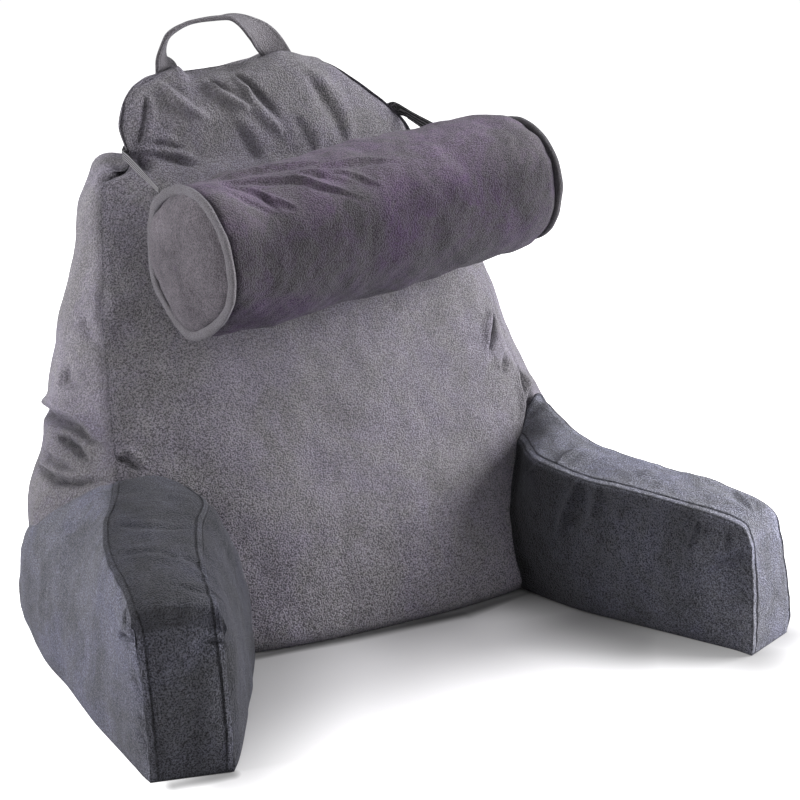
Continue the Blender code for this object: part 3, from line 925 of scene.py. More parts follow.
        # painted light and shade: lighter on the left side and low on the face, darker on the left of the
        # face, on the head's right half and low on the left side
        left_side = ~on_front * step(-0.05, -0.16, grid[..., 0]) * step(0.0, 0.012, seams) * step(
            0.200, 0.130, grid[..., 1])
        low_side = left_side * step(0.215, 0.185, height)
        nap = 1.0 + left_side * (0.50 * step(0.45, 0.38, height)) - 0.34 * low_side
        nap *= 1.0 - 0.20 * (on_front * step(-0.02, -0.16, grid[..., 0])) * step(0.42, 0.34, height)
        nap *= 1.0 + 0.20 * on_front * step(0.10, 0.0, height)
        nap *= 1.0 - 0.10 * on_front * step(0.42, 0.45, height) * step(-0.06, 0.02, grid[..., 0])
        # painted shade in the seams' grooves
        groove = 0.30 * np.exp(-((seams / 0.0022) ** 2))
        groove = groove * step(0.0, 0.02, height) * step(0.43, 0.41, height)
        shaded = np.maximum(step(0.14, 0.04, height), step(-0.08, -0.19, grid[..., 0]))
        fleece = 0.50 + 0.30 * on_front * shaded
        marks = Marks(1.0, np.maximum(np.maximum(dark, self.hollows(grid)), groove), nap,
                      1.0 + 0.35 * low_side, fleece).over(points, grid.shape[:2], self.base_rings)
        return add_mesh("backrest_cover", points, faces, self.finish, marks)

    @staticmethod
    def hollows(grid: Array) -> Array:
        """Painted shade in the deep pinches: exp(-(d/r)^2) of the distance d to the nearest one's bottom.

        Args:
            grid: rows by columns by 3.

        Returns:
            One number for each point, 1 at a bottom.
        """
        places = (((-.170, .128, .406), 0.011), ((-.152, .133, .418), 0.006), ((.198, -.028, .152), 0.010))
        return np.max([np.exp(-np.sum((grid - np.array(p)) ** 2, axis=-1) / (r * r)) for p, r in places],
                      axis=0)


# ---------------------------------------------------------------- arms


@dataclass(frozen=True)
class ArmRow:
    """One upright section of an arm, from its outer to its inner floor line, with both seams.

    out_w, out_z, in_w and in_z place the seams: across from the outer floor line, and up. The bellies
    say how far the walls swell, lean how far the top lies back, and the powers how late a wall leans in.
    """

    outer_x: float
    outer_y: float
    inner_x: float
    inner_y: float
    out_w: float
    out_z: float
    in_w: float
    in_z: float
    belly_out: float
    belly_in: float
    lean: float
    power: float = 1.7
    power_in: float = 1.7


@dataclass(frozen=True)
class ArmPaintedLight:
    """Painted light and shade on each panel of an arm: colour factors at its sewn end and at its nose."""

    inner: tuple[float, float]
    strip: tuple[float, float]
    outer: tuple[float, float]
    front: float


@dataclass
class Arm:
    """A stuffed arm: a boxing strip over the top and down the front between two side panels.

    puckered says how much the inner and the outer panel pucker beside the nose's seams; sections, floor,
    wall, top, nose and end_rings are counts of points. rear_share of the sections lie behind the last
    two rows of the table.
    """

    name: str
    finish: bpy.types.Material
    rows: tuple[ArmRow, ...]
    creases: tuple[Crease, ...]
    nap: ArmPaintedLight
    seed: int
    puckered: tuple[float, float] = (0.0, 1.0)
    sections: int = 230
    floor: int = 24
    wall: int = 84
    top: int = 60
    nose: int = 34
    end_rings: int = 10
    rear_share: float = 0.72
    strip_crown: float = 0.006
    nose_crown: float = 0.005
    seam_sink: float = 0.0024
    seam_reach: float = 0.009
    band_rise: float = 0.0012
    sewn_sink: float = 0.0045
    sewn_reach: float = 0.008
    pucker_height: float = 0.0013
    pucker_off: float = 0.007
    foot: float = 0.018

    def sections_grid(self) -> Array:
        """All sections along the arm at once.

        A wall leans in from the floor to its seam as share^power and swells by
        belly*sin(pi*sqrt(share)); the strip between the seams crowns by strip_crown*sin(pi*share).

        Returns:
            sections by places by 3, the places running floor, inner wall, strip, outer wall.
        """
        table = np.array([astuple(row) for row in self.rows])
        last = len(table) - 1.0
        rear = int(self.sections * self.rear_share)
        knots = np.concatenate((np.linspace(0.0, last - 2, rear, endpoint=False),
                                np.linspace(last - 2, last, self.sections - rear)))
        rows = smooth(np.arange(len(table)), table, knots)
        (outer_x, outer_y, inner_x, inner_y, out_w, out_z, in_w, in_z, belly_out, belly_in,
         lean, power, power_in) = rows.T[:, :, None]
        width = np.hypot(inner_x - outer_x, inner_y - outer_y)
        along = np.stack(((inner_x - outer_x) / width, (inner_y - outer_y) / width), axis=-1)
        backward = unit(np.array((0.0, 1.0)) - along * along[..., 1:])
        share = np.linspace(0.0, 1.0, self.wall + 1)[None, :-1] ** 0.92

        def side(floor_w: Array, seam_w: Array, seam_z: Array, belly: Array,
                 late: Array) -> tuple[Array, Array]:
            """Places up one wall.

            Args:
                floor_w: where it stands, across the arm.
                seam_w: where its seam is, across the arm.
                seam_z: the seam's height.
                belly: how far it swells.
                late: how late it leans in.

            Returns:
                The places across the arm, and their heights.
            """
            w = floor_w + (seam_w - floor_w) * share**late + belly * np.sin(math.pi * np.sqrt(share))
            return w, seam_z * share

        span = np.linspace(0.0, 1.0, self.floor + 1)[None, :-1]
        crown = np.linspace(0.0, 1.0, self.top + 1)[None]
        in_side = side(width, in_w, in_z, belly_in, power_in)
        out_side = side(np.zeros_like(width), out_w, out_z, -belly_out, power)
        across = np.concatenate((width * span, in_side[0], in_w + (out_w - in_w) * crown,
                                 out_side[0][:, 1:][:, ::-1]), axis=1)
        height = np.concatenate((0.0 * width * span, in_side[1],
                                 in_z + (out_z - in_z) * crown + self.strip_crown * np.sin(math.pi * crown),
                                 out_side[1][:, 1:][:, ::-1]), axis=1)
        tall = height.max(axis=1, keepdims=True)
        plan = (np.stack((outer_x, outer_y), axis=-1) + across[..., None] * along
                + (lean * (height / tall) ** 2)[..., None] * backward)
        return np.concatenate((plan, height[..., None]), axis=-1)

    def nose_rings(self, grid: Array) -> Array:
        """Rings that close the front: each draws in from the last section and stands a little out.

        Ring k keeps 1 - k/n of the section's size and stands forward by nose_crown*sin(k/n*pi/2).

        Args:
            grid: the sections.

        Returns:
            The rings, the outermost first.
        """
        last, middle = grid[-1], grid[-1].mean(axis=0)
        forward = middle - grid[-12].mean(axis=0)
        forward[2] = 0.0
        forward = unit(forward)
        share = (np.arange(1, self.nose) / self.nose)[:, None, None]
        rings = middle + (last - middle) * (1 - share)
        rings = rings + forward * self.nose_crown * np.sin(share * math.pi / 2)
        rings[..., 2] = np.maximum(rings[..., 2], 0.0)
        return rings

    def build(self, core: BVHTree, outward: tuple[float, float, float]) -> bpy.types.Object:
        """The cover, its back end seated on the backrest.

        A felled seam sinks seam_sink*exp(-(d/seam_reach)^2), d being the distance from it, under a flat
        band that stands band_rise up, and the sewn end sinks in the same way. The puckers are a sine
        along the arm, strongest pucker_off outside the seam and only on the half by the nose.

        Args:
            core: the backrest's skin.
            outward: the way in which the sewn end is pushed out of the backrest.

        Returns:
            The arm.
        """
        body = begun(self.sections_grid(), core)
        grid = np.concatenate((body, self.nose_rings(body)))
        inner, outer = self.floor + self.wall, self.floor + self.wall + self.top
        columns = np.arange(grid.shape[1])
        near = np.minimum(np.abs(columns - inner), np.abs(columns - outer))
        weight = 0.55 * np.exp(-((near / 7.0) ** 2))[None, :, None] * np.ones((len(grid), 1, 1))
        weight[self.sections - 8:self.sections + 6] = 0.55
        weight[:, :self.floor + 1] = 0.0
        weight[:2] = 0.0
        grid = relaxed(grid, 7, weight)
        on_front = (np.arange(len(grid)) >= self.sections)[:, None]
        strip = ((columns >= inner) & (columns <= outer))[None] | on_front
        body = grid[:self.sections]
        foot_in = grid[self.sections - 1, self.floor:inner][::-1]
        foot_out = grid[self.sections - 1, outer + 1:]
        paths = [np.vstack((body[::3, inner], foot_in[::3])), np.vstack((body[::3, outer], foot_out[::3]))]
        off = np.minimum(*(path_offset(grid, path) for path in paths))
        off = np.where(strip, off, -off)
        normals = grid_normals(relaxed(grid, 5, 0.5))
        sewn = np.cumsum(np.linalg.norm(np.diff(grid, axis=0, prepend=grid[:1]), axis=-1), axis=0)
        lift = Lumps(0.11, 0.0012, self.seed).at(grid) + Lumps(0.04, 0.0007, self.seed + 1).at(grid)
        lift += Lumps(0.016, 0.0003, self.seed + 2).at(grid)
        rise, dark = folded(grid, normals, self.creases, snap=True)
        lift += rise
        lift += (-self.seam_sink * np.exp(-((off / self.seam_reach) ** 2))
                 + self.band_rise * step(-0.0006, 0.0012, off) * step(0.0074, 0.0056, off))
        lift -= self.sewn_sink * np.exp(-((sewn / self.sewn_reach) ** 2))
        wave = np.sin(2 * math.pi * (sewn / 0.017 + grid[..., 2] / 0.012)
                      + 400.0 * Lumps(0.05, 0.004, 61).at(grid))
        pucker = np.exp(-(((off + self.pucker_off) / 0.0065) ** 2)) * step(0.0, 0.02, grid[..., 2])
        pucker *= step(0.5, 0.75, np.arange(len(grid)) / self.sections)[:, None]
        pucker *= step(-0.8, 0.8, Lumps(0.03, 1.0, 62).at(grid)) * np.where(
            columns < inner, self.puckered[0], self.puckered[1])
        lift += self.pucker_height * wave * pucker
        # painted shade in the puckers' troughs and along the sewn end, where the arm meets the backrest
        dark = np.maximum(dark, 0.42 * pucker * step(0.1, -0.9, wave))
        dark = np.maximum(dark, 0.90 * np.exp(-((sewn / 0.0034) ** 2)))
        lift *= step(0.0, self.foot, grid[..., 2])
        grid = grid + normals * lift[..., None]
        grid[..., 2] = np.maximum(grid[..., 2], 0.0)
        rings = grid[0].mean(axis=0) + (grid[0] - grid[0].mean(axis=0)) * (
            np.arange(1, self.end_rings + 1) / (self.end_rings + 1))[:, None, None]
        grid = np.concatenate((seated(rings, core, Vector(outward), 0.0020),
                               cleared(seated(grid, core, Vector(outward), 0.0008), core, 0.0008, 40)))
        points, faces = capped(grid)
        # painted light and shade: each panel's colour made lighter where lit and darker where shaded,
        # changing from the sewn end to the nose; on a puckered arm the inner wall is lighter low down and
        # darker high up towards the nose
        run = np.clip(np.arange(len(off)) / self.sections, 0.0, 1.0)[:, None]
        panel = [low + (high - low) * run for low, high in (self.nap.inner, self.nap.strip, self.nap.outer)]
        height = grid[self.end_rings:, :, 2]
        panel[0] = panel[0] * (1.0 + 0.30 * self.puckered[0] * run * (1.0 - height / 0.065))
        nap = np.where(on_front, self.nap.front,
                       np.where(strip, panel[1], np.where((columns < inner)[None], panel[0], panel[2])))
        nap = relaxed(nap[..., None], 6, 0.5)[..., 0]
        fleece = np.where(on_front, 0.6 + 0.4 * self.puckered[1],
                          np.where((columns < inner)[None] & ~strip, 0.6 + 0.4 * self.puckered[0], 0.6))
        fleece = relaxed(fleece[..., None], 6, 0.5)[..., 0]
        marks = Marks(np.where(np.abs(off) < 0.03, off, 1.0), dark, nap, 1.0, fleece).over(
            points, off.shape, self.end_rings)
        return add_mesh(self.name, points, faces, self.finish, marks)


def begun(grid: Array, core: BVHTree) -> Array:
    """The grid with each column begun where it leaves the core, its points shared out again.

    Args:
        grid: rows by columns by 3, the first row inside the core.
        core: the skin of what the piece is sewn to.

    Returns:
        A grid of the same shape.
    """
    tested = grid.copy()
    tested[..., 2] = np.maximum(tested[..., 2], 0.004)
    starts = np.zeros(grid.shape[1])
    for column in range(grid.shape[1]):
        line = [Vector(place) for place in tested[:, column]]
        for index in range(len(line) - 1, 0, -1):
            way = line[index - 1] - line[index]
            hit, _, _, far = core.ray_cast(line[index], way.normalized(), way.length)
            if hit is not None:
                starts[column] = index - far / way.length
                break
    last = len(grid) - 1.0
    at = starts + (last - starts) * (np.arange(len(grid)) / last)[:, None]
    low = np.clip(at.astype(int), 0, len(grid) - 2)
    part = (at - low)[..., None]
    columns = np.arange(grid.shape[1])[None]
    return grid[low, columns] * (1.0 - part) + grid[low + 1, columns] * part


def seated(grid: Array, core: BVHTree, outward: Vector, gap: float) -> Array:
    """The grid with every point that lies inside the core pushed out to just off its skin.

    Args:
        grid: rows by columns by 3.
        core: the skin of what the piece is sewn to.
        outward: the way of the push.
        gap: how far off the skin a point ends.

    Returns:
        The seated grid.
    """
    way = outward.normalized()
    flat = grid.reshape(-1, 3).copy()
    for index in np.flatnonzero(flat[:, 1] > -0.20):
        start = Vector(flat[index])
        start.z = max(start.z, 0.004)
        hit, normal, _, _ = core.ray_cast(start, way)
        if hit is not None and normal.dot(way) > 0.0:
            flat[index, :2] = (hit + way * gap)[:2]
    return flat.reshape(grid.shape)


def cleared(grid: Array, core: BVHTree, gap: float, rows: int) -> Array:
    """The grid with the first rows kept a gap off the core's skin, but for places on the floor.

    Args:
        grid: rows by columns by 3.
        core: the skin of what the piece is sewn to.
        gap: how far off the skin a point stays.
        rows: how many rows are kept off it.

    Returns:
        The cleared grid.
    """
    out = grid.copy()
    for row, column in np.argwhere(grid[:rows, :, 2] > 0.010):
        place, normal, _, far = core.find_nearest(Vector(out[row, column]))
        short = gap - (Vector(out[row, column]) - place).dot(normal)
        if short > 0.0 and far < 0.006:
            out[row, column] += short * np.array(normal)
    return out


ARM_LEFT = (
    ArmRow(-0.190, 0.100, -0.110, 0.040, 0.025, 0.080, 0.060, 0.080, 0.000, 0.000, 0.000, 3.0, 1.7),
    ArmRow(-0.310, 0.040, -0.122, -0.045, 0.088, 0.146, 0.150, 0.140, 0.006, 0.002, 0.000, 6.0, 2.0),
    ArmRow(-0.318, -0.050, -0.147, -0.120, 0.066, 0.158, 0.148, 0.151, 0.006, 0.002, 0.000, 3.2, 2.3),
    ArmRow(-0.313, -0.115, -0.172, -0.174, 0.033, 0.155, 0.118, 0.150, 0.006, 0.002, 0.000, 2.2, 2.6),
    ArmRow(-0.311, -0.172, -0.196, -0.222, 0.016, 0.149, 0.097, 0.146, 0.005, 0.002, 0.000, 1.8, 3.0),
    ArmRow(-0.304, -0.240, -0.218, -0.266, 0.003, 0.141, 0.075, 0.137, 0.005, 0.003, 0.000, 1.7, 3.6),
    ArmRow(-0.301, -0.272, -0.231, -0.289, -0.004, 0.133, 0.066, 0.130, 0.002, 0.003, 0.006, 1.7, 3.0),
    ArmRow(-0.299, -0.283, -0.237, -0.298, -0.005, 0.118, 0.0625, 0.114, 0.001, 0.002, 0.014, 1.7, 2.0),
)
ARM_RIGHT = (
    ArmRow(0.165, 0.100, 0.095, 0.040, 0.020, 0.090, 0.050, 0.090, 0.000, 0.000, 0.000, 3.0),
    ArmRow(0.294, 0.020, 0.128, -0.062, 0.078, 0.156, 0.120, 0.128, 0.010, 0.004, 0.000),
    ArmRow(0.307, -0.070, 0.144, -0.130, 0.096, 0.142, 0.168, 0.135, 0.014, 0.009, 0.000),
    ArmRow(0.316, -0.130, 0.160, -0.180, 0.086, 0.135, 0.160, 0.132, 0.015, 0.009, 0.000),
    ArmRow(0.318, -0.190, 0.186, -0.228, 0.066, 0.133, 0.136, 0.131, 0.014, 0.009, 0.000),
    ArmRow(0.313, -0.255, 0.221, -0.290, 0.034, 0.127, 0.098, 0.126, 0.009, 0.008, 0.000),
    ArmRow(0.309, -0.302, 0.241, -0.326, 0.014, 0.115, 0.070, 0.117, 0.003, 0.004, 0.008),
    ArmRow(0.306, -0.317, 0.245, -0.338, 0.008, 0.098, 0.062, 0.102, 0.001, 0.002, 0.014),
)
# painted light and shade of the arms' panels: factors above 1 where a panel is lit, below 1 where it is
# shaded, as at the right arm's dark sewn end
PAINTED_LIGHT_LEFT = ArmPaintedLight((0.36, 0.31), (0.52, 0.36), (1.60, 1.50), 0.55)
PAINTED_LIGHT_RIGHT = ArmPaintedLight((-0.02, 1.12), (1.65, 2.15), (0.85, 1.05), 1.78)
CREASES_LEFT = (
    Crease(((-.299, -.252, .134), (-.300, -.258, .118)), 0.0022, 0.0052, 0.0010, 0, 0.85),
    Crease(((-.306, -.240, .104), (-.303, -.250, .110), (-.300, -.267, .112)),
           0.0022, 0.0052, 0.0012, 1, 0.85),
    Crease(((-.254, -.280, .106), (-.236, -.285, .104)), 0.0022, 0.0020, 0.0008, 0, 0.5),
    Crease(((-.276, -.140, .156), (-.252, -.165, .158), (-.215, -.170, .151)),
           0.0040, 0.0012, 0.0008, 0, 0.12),
    Crease(((-.287, -.189, .150), (-.261, -.204, .152), (-.243, -.220, .148)),
           0.0040, 0.0010, 0.0008, 0, 0.12),
    Crease(((-.262, -.253, .142), (-.246, -.262, .135), (-.231, -.258, .121)),
           0.0036, 0.0012, 0.0012, 1, 0.10),
    Crease(((-.246, -.212, .149), (-.235, -.226, .143), (-.232, -.245, .135)),
           0.0036, 0.0010, 0.0010, 0, 0.10),
)
CREASES_RIGHT = (
    Crease(((.158, -.146, .136), (.172, -.140, .141), (.196, -.132, .142)),
           0.0040, 0.0028, 0.0010, 1, 0.30),
    Crease(((.136, -.102, .112), (.148, -.132, .128)), 0.0042, 0.0048, 0.0020, -1, 0.40),
    Crease(((.165, -.180, .136), (.153, -.172, .104), (.145, -.164, .072)),
           0.0062, 0.0060, 0.0040, -1, 0.34),
    Crease(((.173, -.198, .130), (.163, -.195, .092)), 0.0055, 0.0036, 0.0022, -1, 0.22),
    Crease(((.185, -.222, .124), (.178, -.216, .098)), 0.0050, 0.0022, 0.0014, -1, 0.14),
    Crease(((.217, -.286, .120), (.214, -.284, .102), (.209, -.280, .082)),
           0.0026, 0.0044, 0.0010, 1, 0.45),
    Crease(((.222, -.293, .118), (.218, -.291, .100)), 0.0022, 0.0030, 0.0006, 1, 0.40),
    Crease(((.233, -.309, .113), (.230, -.310, .096)), 0.0024, 0.0040, 0.0008, 1, 0.50),
    Crease(((.242, -.324, .097), (.232, -.314, .088), (.220, -.300, .080)),
           0.0028, 0.0044, 0.0014, -1, 0.45),
    Crease(((.275, -.268, .133), (.264, -.308, .126)), 0.0040, 0.0018, 0.0018, 0, 0.10),
    Crease(((.205, -.215, .140), (.235, -.200, .146)), 0.0060, 0.0016, 0.0012, 0, 0.06),
)


# ---------------------------------------------------------------- neck roll


@dataclass
class NeckRoll:
    """The stuffed bolster with crowned end panels and a flat folded rim round each.

    profile gives the radius at shares of the length, left_edge the left rim's outer radius at degrees
    from the back over the top, and crease_share how much of the creases' depth shows.
    """

    finish: bpy.types.Material
    rim_finish: bpy.types.Material
    left: tuple[float, float, float] = (-0.166, -0.050, 0.345)
    right: tuple[float, float, float] = (0.206, 0.0126, 0.387)
    profile: tuple[tuple[float, float], ...] = (
        (0.000, 0.0640), (0.006, 0.0672), (0.020, 0.0688), (0.120, 0.0700), (0.350, 0.0715),
        (0.650, 0.0734), (0.880, 0.0712), (0.960, 0.0668), (0.988, 0.0612), (1.000, 0.0585))
    left_edge: tuple[tuple[float, float], ...] = (
        (-200., .0770), (-180., .0765), (-160., .0715), (-147., .0672), (-125., .0628), (-102., .0650),
        (-86., .0705), (-70., .0735), (-55., .0735), (-38., .0755), (-22., .0765), (-9., .0745), (6., .0725),
        (25., .0718), (40., .0715), (55., .0695), (72., .0690), (95., .0725), (112., .0772), (123., .0800),
        (135., .0815), (150., .0805), (162., .0785), (180., .0765))
    right_edge: float = 0.0640
    cap_crown: float = 0.016
    crease_share: float = 0.72
    pleat: float = 0.0008
    round_steps: int = 320
    rim_steps: int = 300
    rim_sides: int = 22
    rim_out: float = 0.003
    creases: tuple[Crease, ...] = (
        Crease(((-.155, -.050, .413), (-.110, -.042, .420), (-.060, -.048, .425), (-.020, -.046, .429)),
               0.0034, 0.0046, 0.0034, 1, 0.12),
        Crease(((-.155, -.058, .413), (-.105, -.061, .417), (-.077, -.066, .417), (-.050, -.079, .409),
                (-.012, -.090, .396)), 0.0028, 0.0054, 0.0038, 1, 0.12),
        Crease(((-.156, -.063, .411), (-.123, -.072, .411), (-.110, -.078, .408), (-.096, -.098, .391)),
               0.0027, 0.0050, 0.0034, 1, 0.12),
        Crease(((-.156, -.074, .407), (-.123, -.088, .401), (-.100, -.097, .391)),
               0.0027, 0.0044, 0.0030, 1, 0.12),
        Crease(((-.112, -.078, .409), (-.080, -.095, .395)), 0.0030, 0.0036, 0.0024, 1, 0.12),
        Crease(((-.066, -.056, .423), (-.016, -.054, .427), (.034, -.062, .426)),
               0.0036, 0.0034, 0.0026, 1, 0.12),
        Crease(((-.057, -.062, .421), (-.012, -.079, .409)), 0.0034, 0.0034, 0.0024, 1, 0.12),
        Crease(((-.074, -.060, .420), (-.038, -.064, .421), (.010, -.082, .406)),
               0.0034, 0.0034, 0.0024, 1, 0.12),
        Crease(((-.150, -.030, .412), (-.100, -.022, .417)), 0.0036, 0.0034, 0.0024, 1, 0.12),
    )

    def frame(self) -> tuple[Array, Array, Array, Array, float]:
        """The roll's own directions.

        Returns:
            The left end, the axis, the ways up and back across it, and the length.
        """
        left, right = np.array(self.left), np.array(self.right)
        axis = unit(right - left)
        up = unit(np.array((0.0, 0.0, 1.0)) - axis * axis[2])
        return left, axis, up, np.cross(up, axis), float(np.linalg.norm(right - left))

    def turned(self, stations: Array, radii: Array, turns: Array) -> Array:
        """Points round the axis.

        Args:
            stations: places along it.
            radii: distances from it.
            turns: angles from the back over the top.

        Returns:
            The points.
        """
        left, axis, up, back, _ = self.frame()
        way = np.cos(turns)[..., None] * back + np.sin(turns)[..., None] * up
        return left + stations[..., None] * axis + radii[..., None] * way

    def edge(self, turns: Array) -> Array:
        """The outer radius of the left rim, which is pulled out of round.

        Args:
            turns: angles from the back over the top.

        Returns:
            One radius for each angle.
        """
        table = np.array(self.left_edge)
        degrees = (np.degrees(turns) + 180.0) % 360.0 - 180.0
        return smooth(table[:, 0], table[:, 1:], degrees.ravel())[:, 0].reshape(turns.shape)

    def build(self) -> list[bpy.types.Object]:
        """The bolster and both rims.

        The tube's radius follows the profile, and the ends are quarter turns: out by crown*sin(t), in to
        cos(t) of the radius. Pleats stand beside each rim: sines round the tube of the pleat's height.

        Returns:
            The bolster, the left rim and the right rim.
        """
        length = self.frame()[-1]
        shares = np.concatenate((np.linspace(0.0, 0.06, 26, endpoint=False),
                                 np.linspace(0.06, 0.94, 190, endpoint=False), np.linspace(0.94, 1.0, 26)))
        table = np.array(self.profile)
        turn = np.linspace(0.0, 1.0, 25)[1:-1] * math.pi / 2
        along = np.concatenate((-self.cap_crown * np.sin(turn)[::-1], shares * length,
                                length + self.cap_crown * np.sin(turn)))[:, None]
        drawn = np.concatenate((np.cos(turn)[::-1], np.ones(len(shares)), np.cos(turn)))[:, None]
        share = np.clip(along / length, 0.0, 1.0)
        turns = -np.linspace(0.0, 2 * math.pi, self.round_steps, endpoint=False)[None]
        radii = smooth(table[:, 0], table[:, 1:], share[:, 0])
        radii = (radii + (self.edge(turns) - 0.0710) * step(0.16, 0.0, share)) * drawn
        grid = self.turned(*np.broadcast_arrays(along, radii, turns))
        normals = grid_normals(grid)
        lift = Lumps(0.12, 0.0018, 21).at(grid) + Lumps(0.04, 0.0008, 22).at(grid)
        lift += Lumps(0.015, 0.00028, 23).at(grid)
        rise, dark = folded(grid, normals, self.creases)
        lift += self.crease_share * rise
        share = along / length
        pleats = np.sin(turns * 21 + 3 * np.sin(turns * 4)) * step(-0.2, 0.6, np.sin(turns * 3 + 1.0))
        lift += self.pleat * step(0.12, 0.01, share) * step(0.0, 0.015, share) * pleats
        lift += self.pleat * step(0.88, 0.985, share) * step(1.0, 0.99, share) * pleats
        cap = step(-0.0005, -0.004, along) + step(length + 0.0005, length + 0.004, along)
        lift += cap * drawn * (0.0012 * np.exp(-((np.sin(turns * 1.5 + 0.6) / 0.10) ** 2))
                               - 0.0010 * np.exp(-((np.sin(turns * 2.0 + 2.0) / 0.16) ** 2)))
        grid = grid + normals * lift[..., None]
        points, faces = capped(grid)
        # painted light and shade: the tube's top much lighter than its front, its bottom a little lighter,
        # the end panels lighter still and the right end a little darker
        up = np.sin(turns) - 0.12 * np.cos(turns)
        painted_light_round_the_tube = 0.40 + 0.62 * step(0.30, 0.92, up) + 0.10 * step(-0.5, -0.95, up)
        painted_light_round_the_tube = painted_light_round_the_tube * (1.0 - 0.06 * step(0.6, 0.95, share))
        nap = 1.20 * cap + (1.0 - cap) * painted_light_round_the_tube
        # painted shadow: a darker ring on the tube beside the left rim
        nap = nap * (1.0 - 0.12 * np.exp(-(((share - 0.003) / 0.006) ** 2)))
        hue = (1.0 - cap) * (0.55 + 0.45 * step(0.9, 0.3, up))
        roll = add_mesh("neck_roll_cover", points, faces, self.finish,
                        Marks(1.0, dark, nap, hue).over(points, grid.shape[:2]))
        return [roll, self.rim("roll_rim_left", -self.rim_out, None),
                self.rim("roll_rim_right", length + self.rim_out, self.right_edge)]

    def rim(self, name: str, station: float, edge: float | None) -> bpy.types.Object:
        """A flat folded rim: an oval section carried round the end.

        The oval is a superellipse, cos and sin to the power 0.8, and sines round the end wave it.

        Args:
            name: the piece's name.
            station: its place along the axis.
            edge: its outer radius, or nothing for the uneven left one.

        Returns:
            The rim.
        """
        turns, section = np.meshgrid(-np.linspace(0, 2 * math.pi, self.rim_steps, endpoint=False),
                                     np.linspace(0, 2 * math.pi, self.rim_sides, endpoint=False),
                                     indexing="ij")
        outer = self.edge(turns) if edge is None else edge + 0.0008 * np.sin(3 * turns + 1.0)
        tall = 0.0046 if edge is None else 0.0040
        thick = 0.0026 if edge is None else 0.0036
        c, d = np.cos(section), np.sin(section)
        radius = outer - tall + tall * np.sign(c) * np.abs(c) ** 0.8
        waves = 0.0010 * np.sin(2 * turns + 0.5) + 0.0006 * np.sin(5 * turns)
        place = station + thick * np.sign(d) * np.abs(d) ** 0.8 + waves
        grid = self.turned(place, radius, turns)
        grid += grid_normals(grid) * Lumps(0.02, 0.0003, 27).at(grid)[..., None]
        points = grid.reshape(-1, 3)
        quads = grid_faces(self.rim_steps + 1, self.rim_sides, True) % len(points)
        off = np.broadcast_to(np.where(d < 0.0, 0.0012 - np.abs(c - 0.86) * tall, 1.0), turns.shape)
        # painted shade: the right rim's colour is darker than the left rim's
        marks = Marks(np.where(off > 0.0, 1.0, off), 0.0, 1.0 if edge is None else 0.45)
        return add_mesh(name, points, [quads], self.rim_finish, marks.over(points, turns.shape))


# ---------------------------------------------------------------- handle and strap


def carried(centres: Array, widths: Array, section: Array) -> Array:
    """A section carried along a path: centre + u*across + v*face, both ways square to the path.

    Args:
        centres: points along the path.
        widths: the way of the band's width at each point.
        section: places of the section, across the width and through the thickness.

    Returns:
        points by places by 3.
    """
    along = unit(np.gradient(centres, axis=0))
    across = unit(widths - along * np.sum(widths * along, axis=1, keepdims=True))
    face = np.cross(along, across)
    return (centres[:, None] + section[None, :, :1] * across[:, None]
            + section[None, :, 1:] * face[:, None])


@dataclass
class Handle:
    """The carry strap: two plies of plush, stitched along both edges.

    route gives places from foot to foot, and how far the band is turned there, in degrees.
    """

    finish: bpy.types.Material
    width: float = 0.029
    thickness: float = 0.0045
    route: tuple[tuple[float, float, float, float], ...] = (
        (-0.1010, 0.171, 0.4830, 6.0), (-0.1065, 0.169, 0.4950, 20.0), (-0.1110, 0.167, 0.5080, 54.0),
        (-0.1050, 0.166, 0.5270, 66.0), (-0.0780, 0.166, 0.5415, 66.0), (-0.0430, 0.166, 0.5455, 52.0),
        (-0.0130, 0.166, 0.5330, 20.0), (0.0065, 0.167, 0.5160, -6.0), (0.0195, 0.169, 0.4950, -16.0),
        (0.0225, 0.170, 0.4880, -18.0))

    def build(self) -> bpy.types.Object:
        """The strap: a flat rounded section carried along a twisting arch.

        Returns:
            The handle.
        """
        table = np.array(self.route)
        rows = smooth(np.arange(len(table)), table, np.linspace(0.0, len(table) - 1.0, 220))
        for _ in range(6):
            rows[1:-1] = (rows[:-2] + 2 * rows[1:-1] + rows[2:]) / 4
        turn = np.radians(rows[:, 3])
        widths = np.column_stack((np.cos(turn), np.sin(turn), np.zeros(len(turn))))
        angle = np.linspace(0.0, 2 * math.pi, 56, endpoint=False)
        u, v = np.cos(angle), np.sin(angle)
        section = np.column_stack((np.sign(u) * np.abs(u) ** 0.35 * self.width / 2,
                                   np.sign(v) * np.abs(v) ** 0.55 * self.thickness / 2))
        grid = carried(rows[:, :3], widths, section)
        normals = grid_normals(grid)
        outward = np.sum(normals * (grid - rows[:, None, :3]), axis=-1).mean() > 0
        normals = normals if outward else -normals
        lift = Lumps(0.03, 0.0004, 31).at(grid)
        grid = grid + normals * lift[..., None]
        if not outward:
            grid = grid[:, ::-1]
            section = section[::-1]
        edge = self.width / 2 - np.abs(section[:, 0])
        off = np.tile(np.where(edge > 0.0012, 0.0026 - edge, 1.0), (len(rows), 1))
        # painted shade on the inner ply at the left foot, and painted light making the strap lighter towards
        # its right foot
        painted_shade_left_foot = step(-0.060, -0.085, grid[..., 0]) * step(0.520, 0.500, grid[..., 2])
        nap = 1.0 - 0.55 * painted_shade_left_foot * step(-0.110, -0.104, grid[..., 0])
        points, faces = capped(grid)
        nap = nap * (0.78 + 0.34 * step(-0.035, 0.000, grid[..., 0]))
        marks = Marks(np.where(off > 0.0, 1.0, off), 0.0, nap).over(points, grid.shape[:2])
        return add_mesh("handle_cover", points, faces, self.finish, marks)


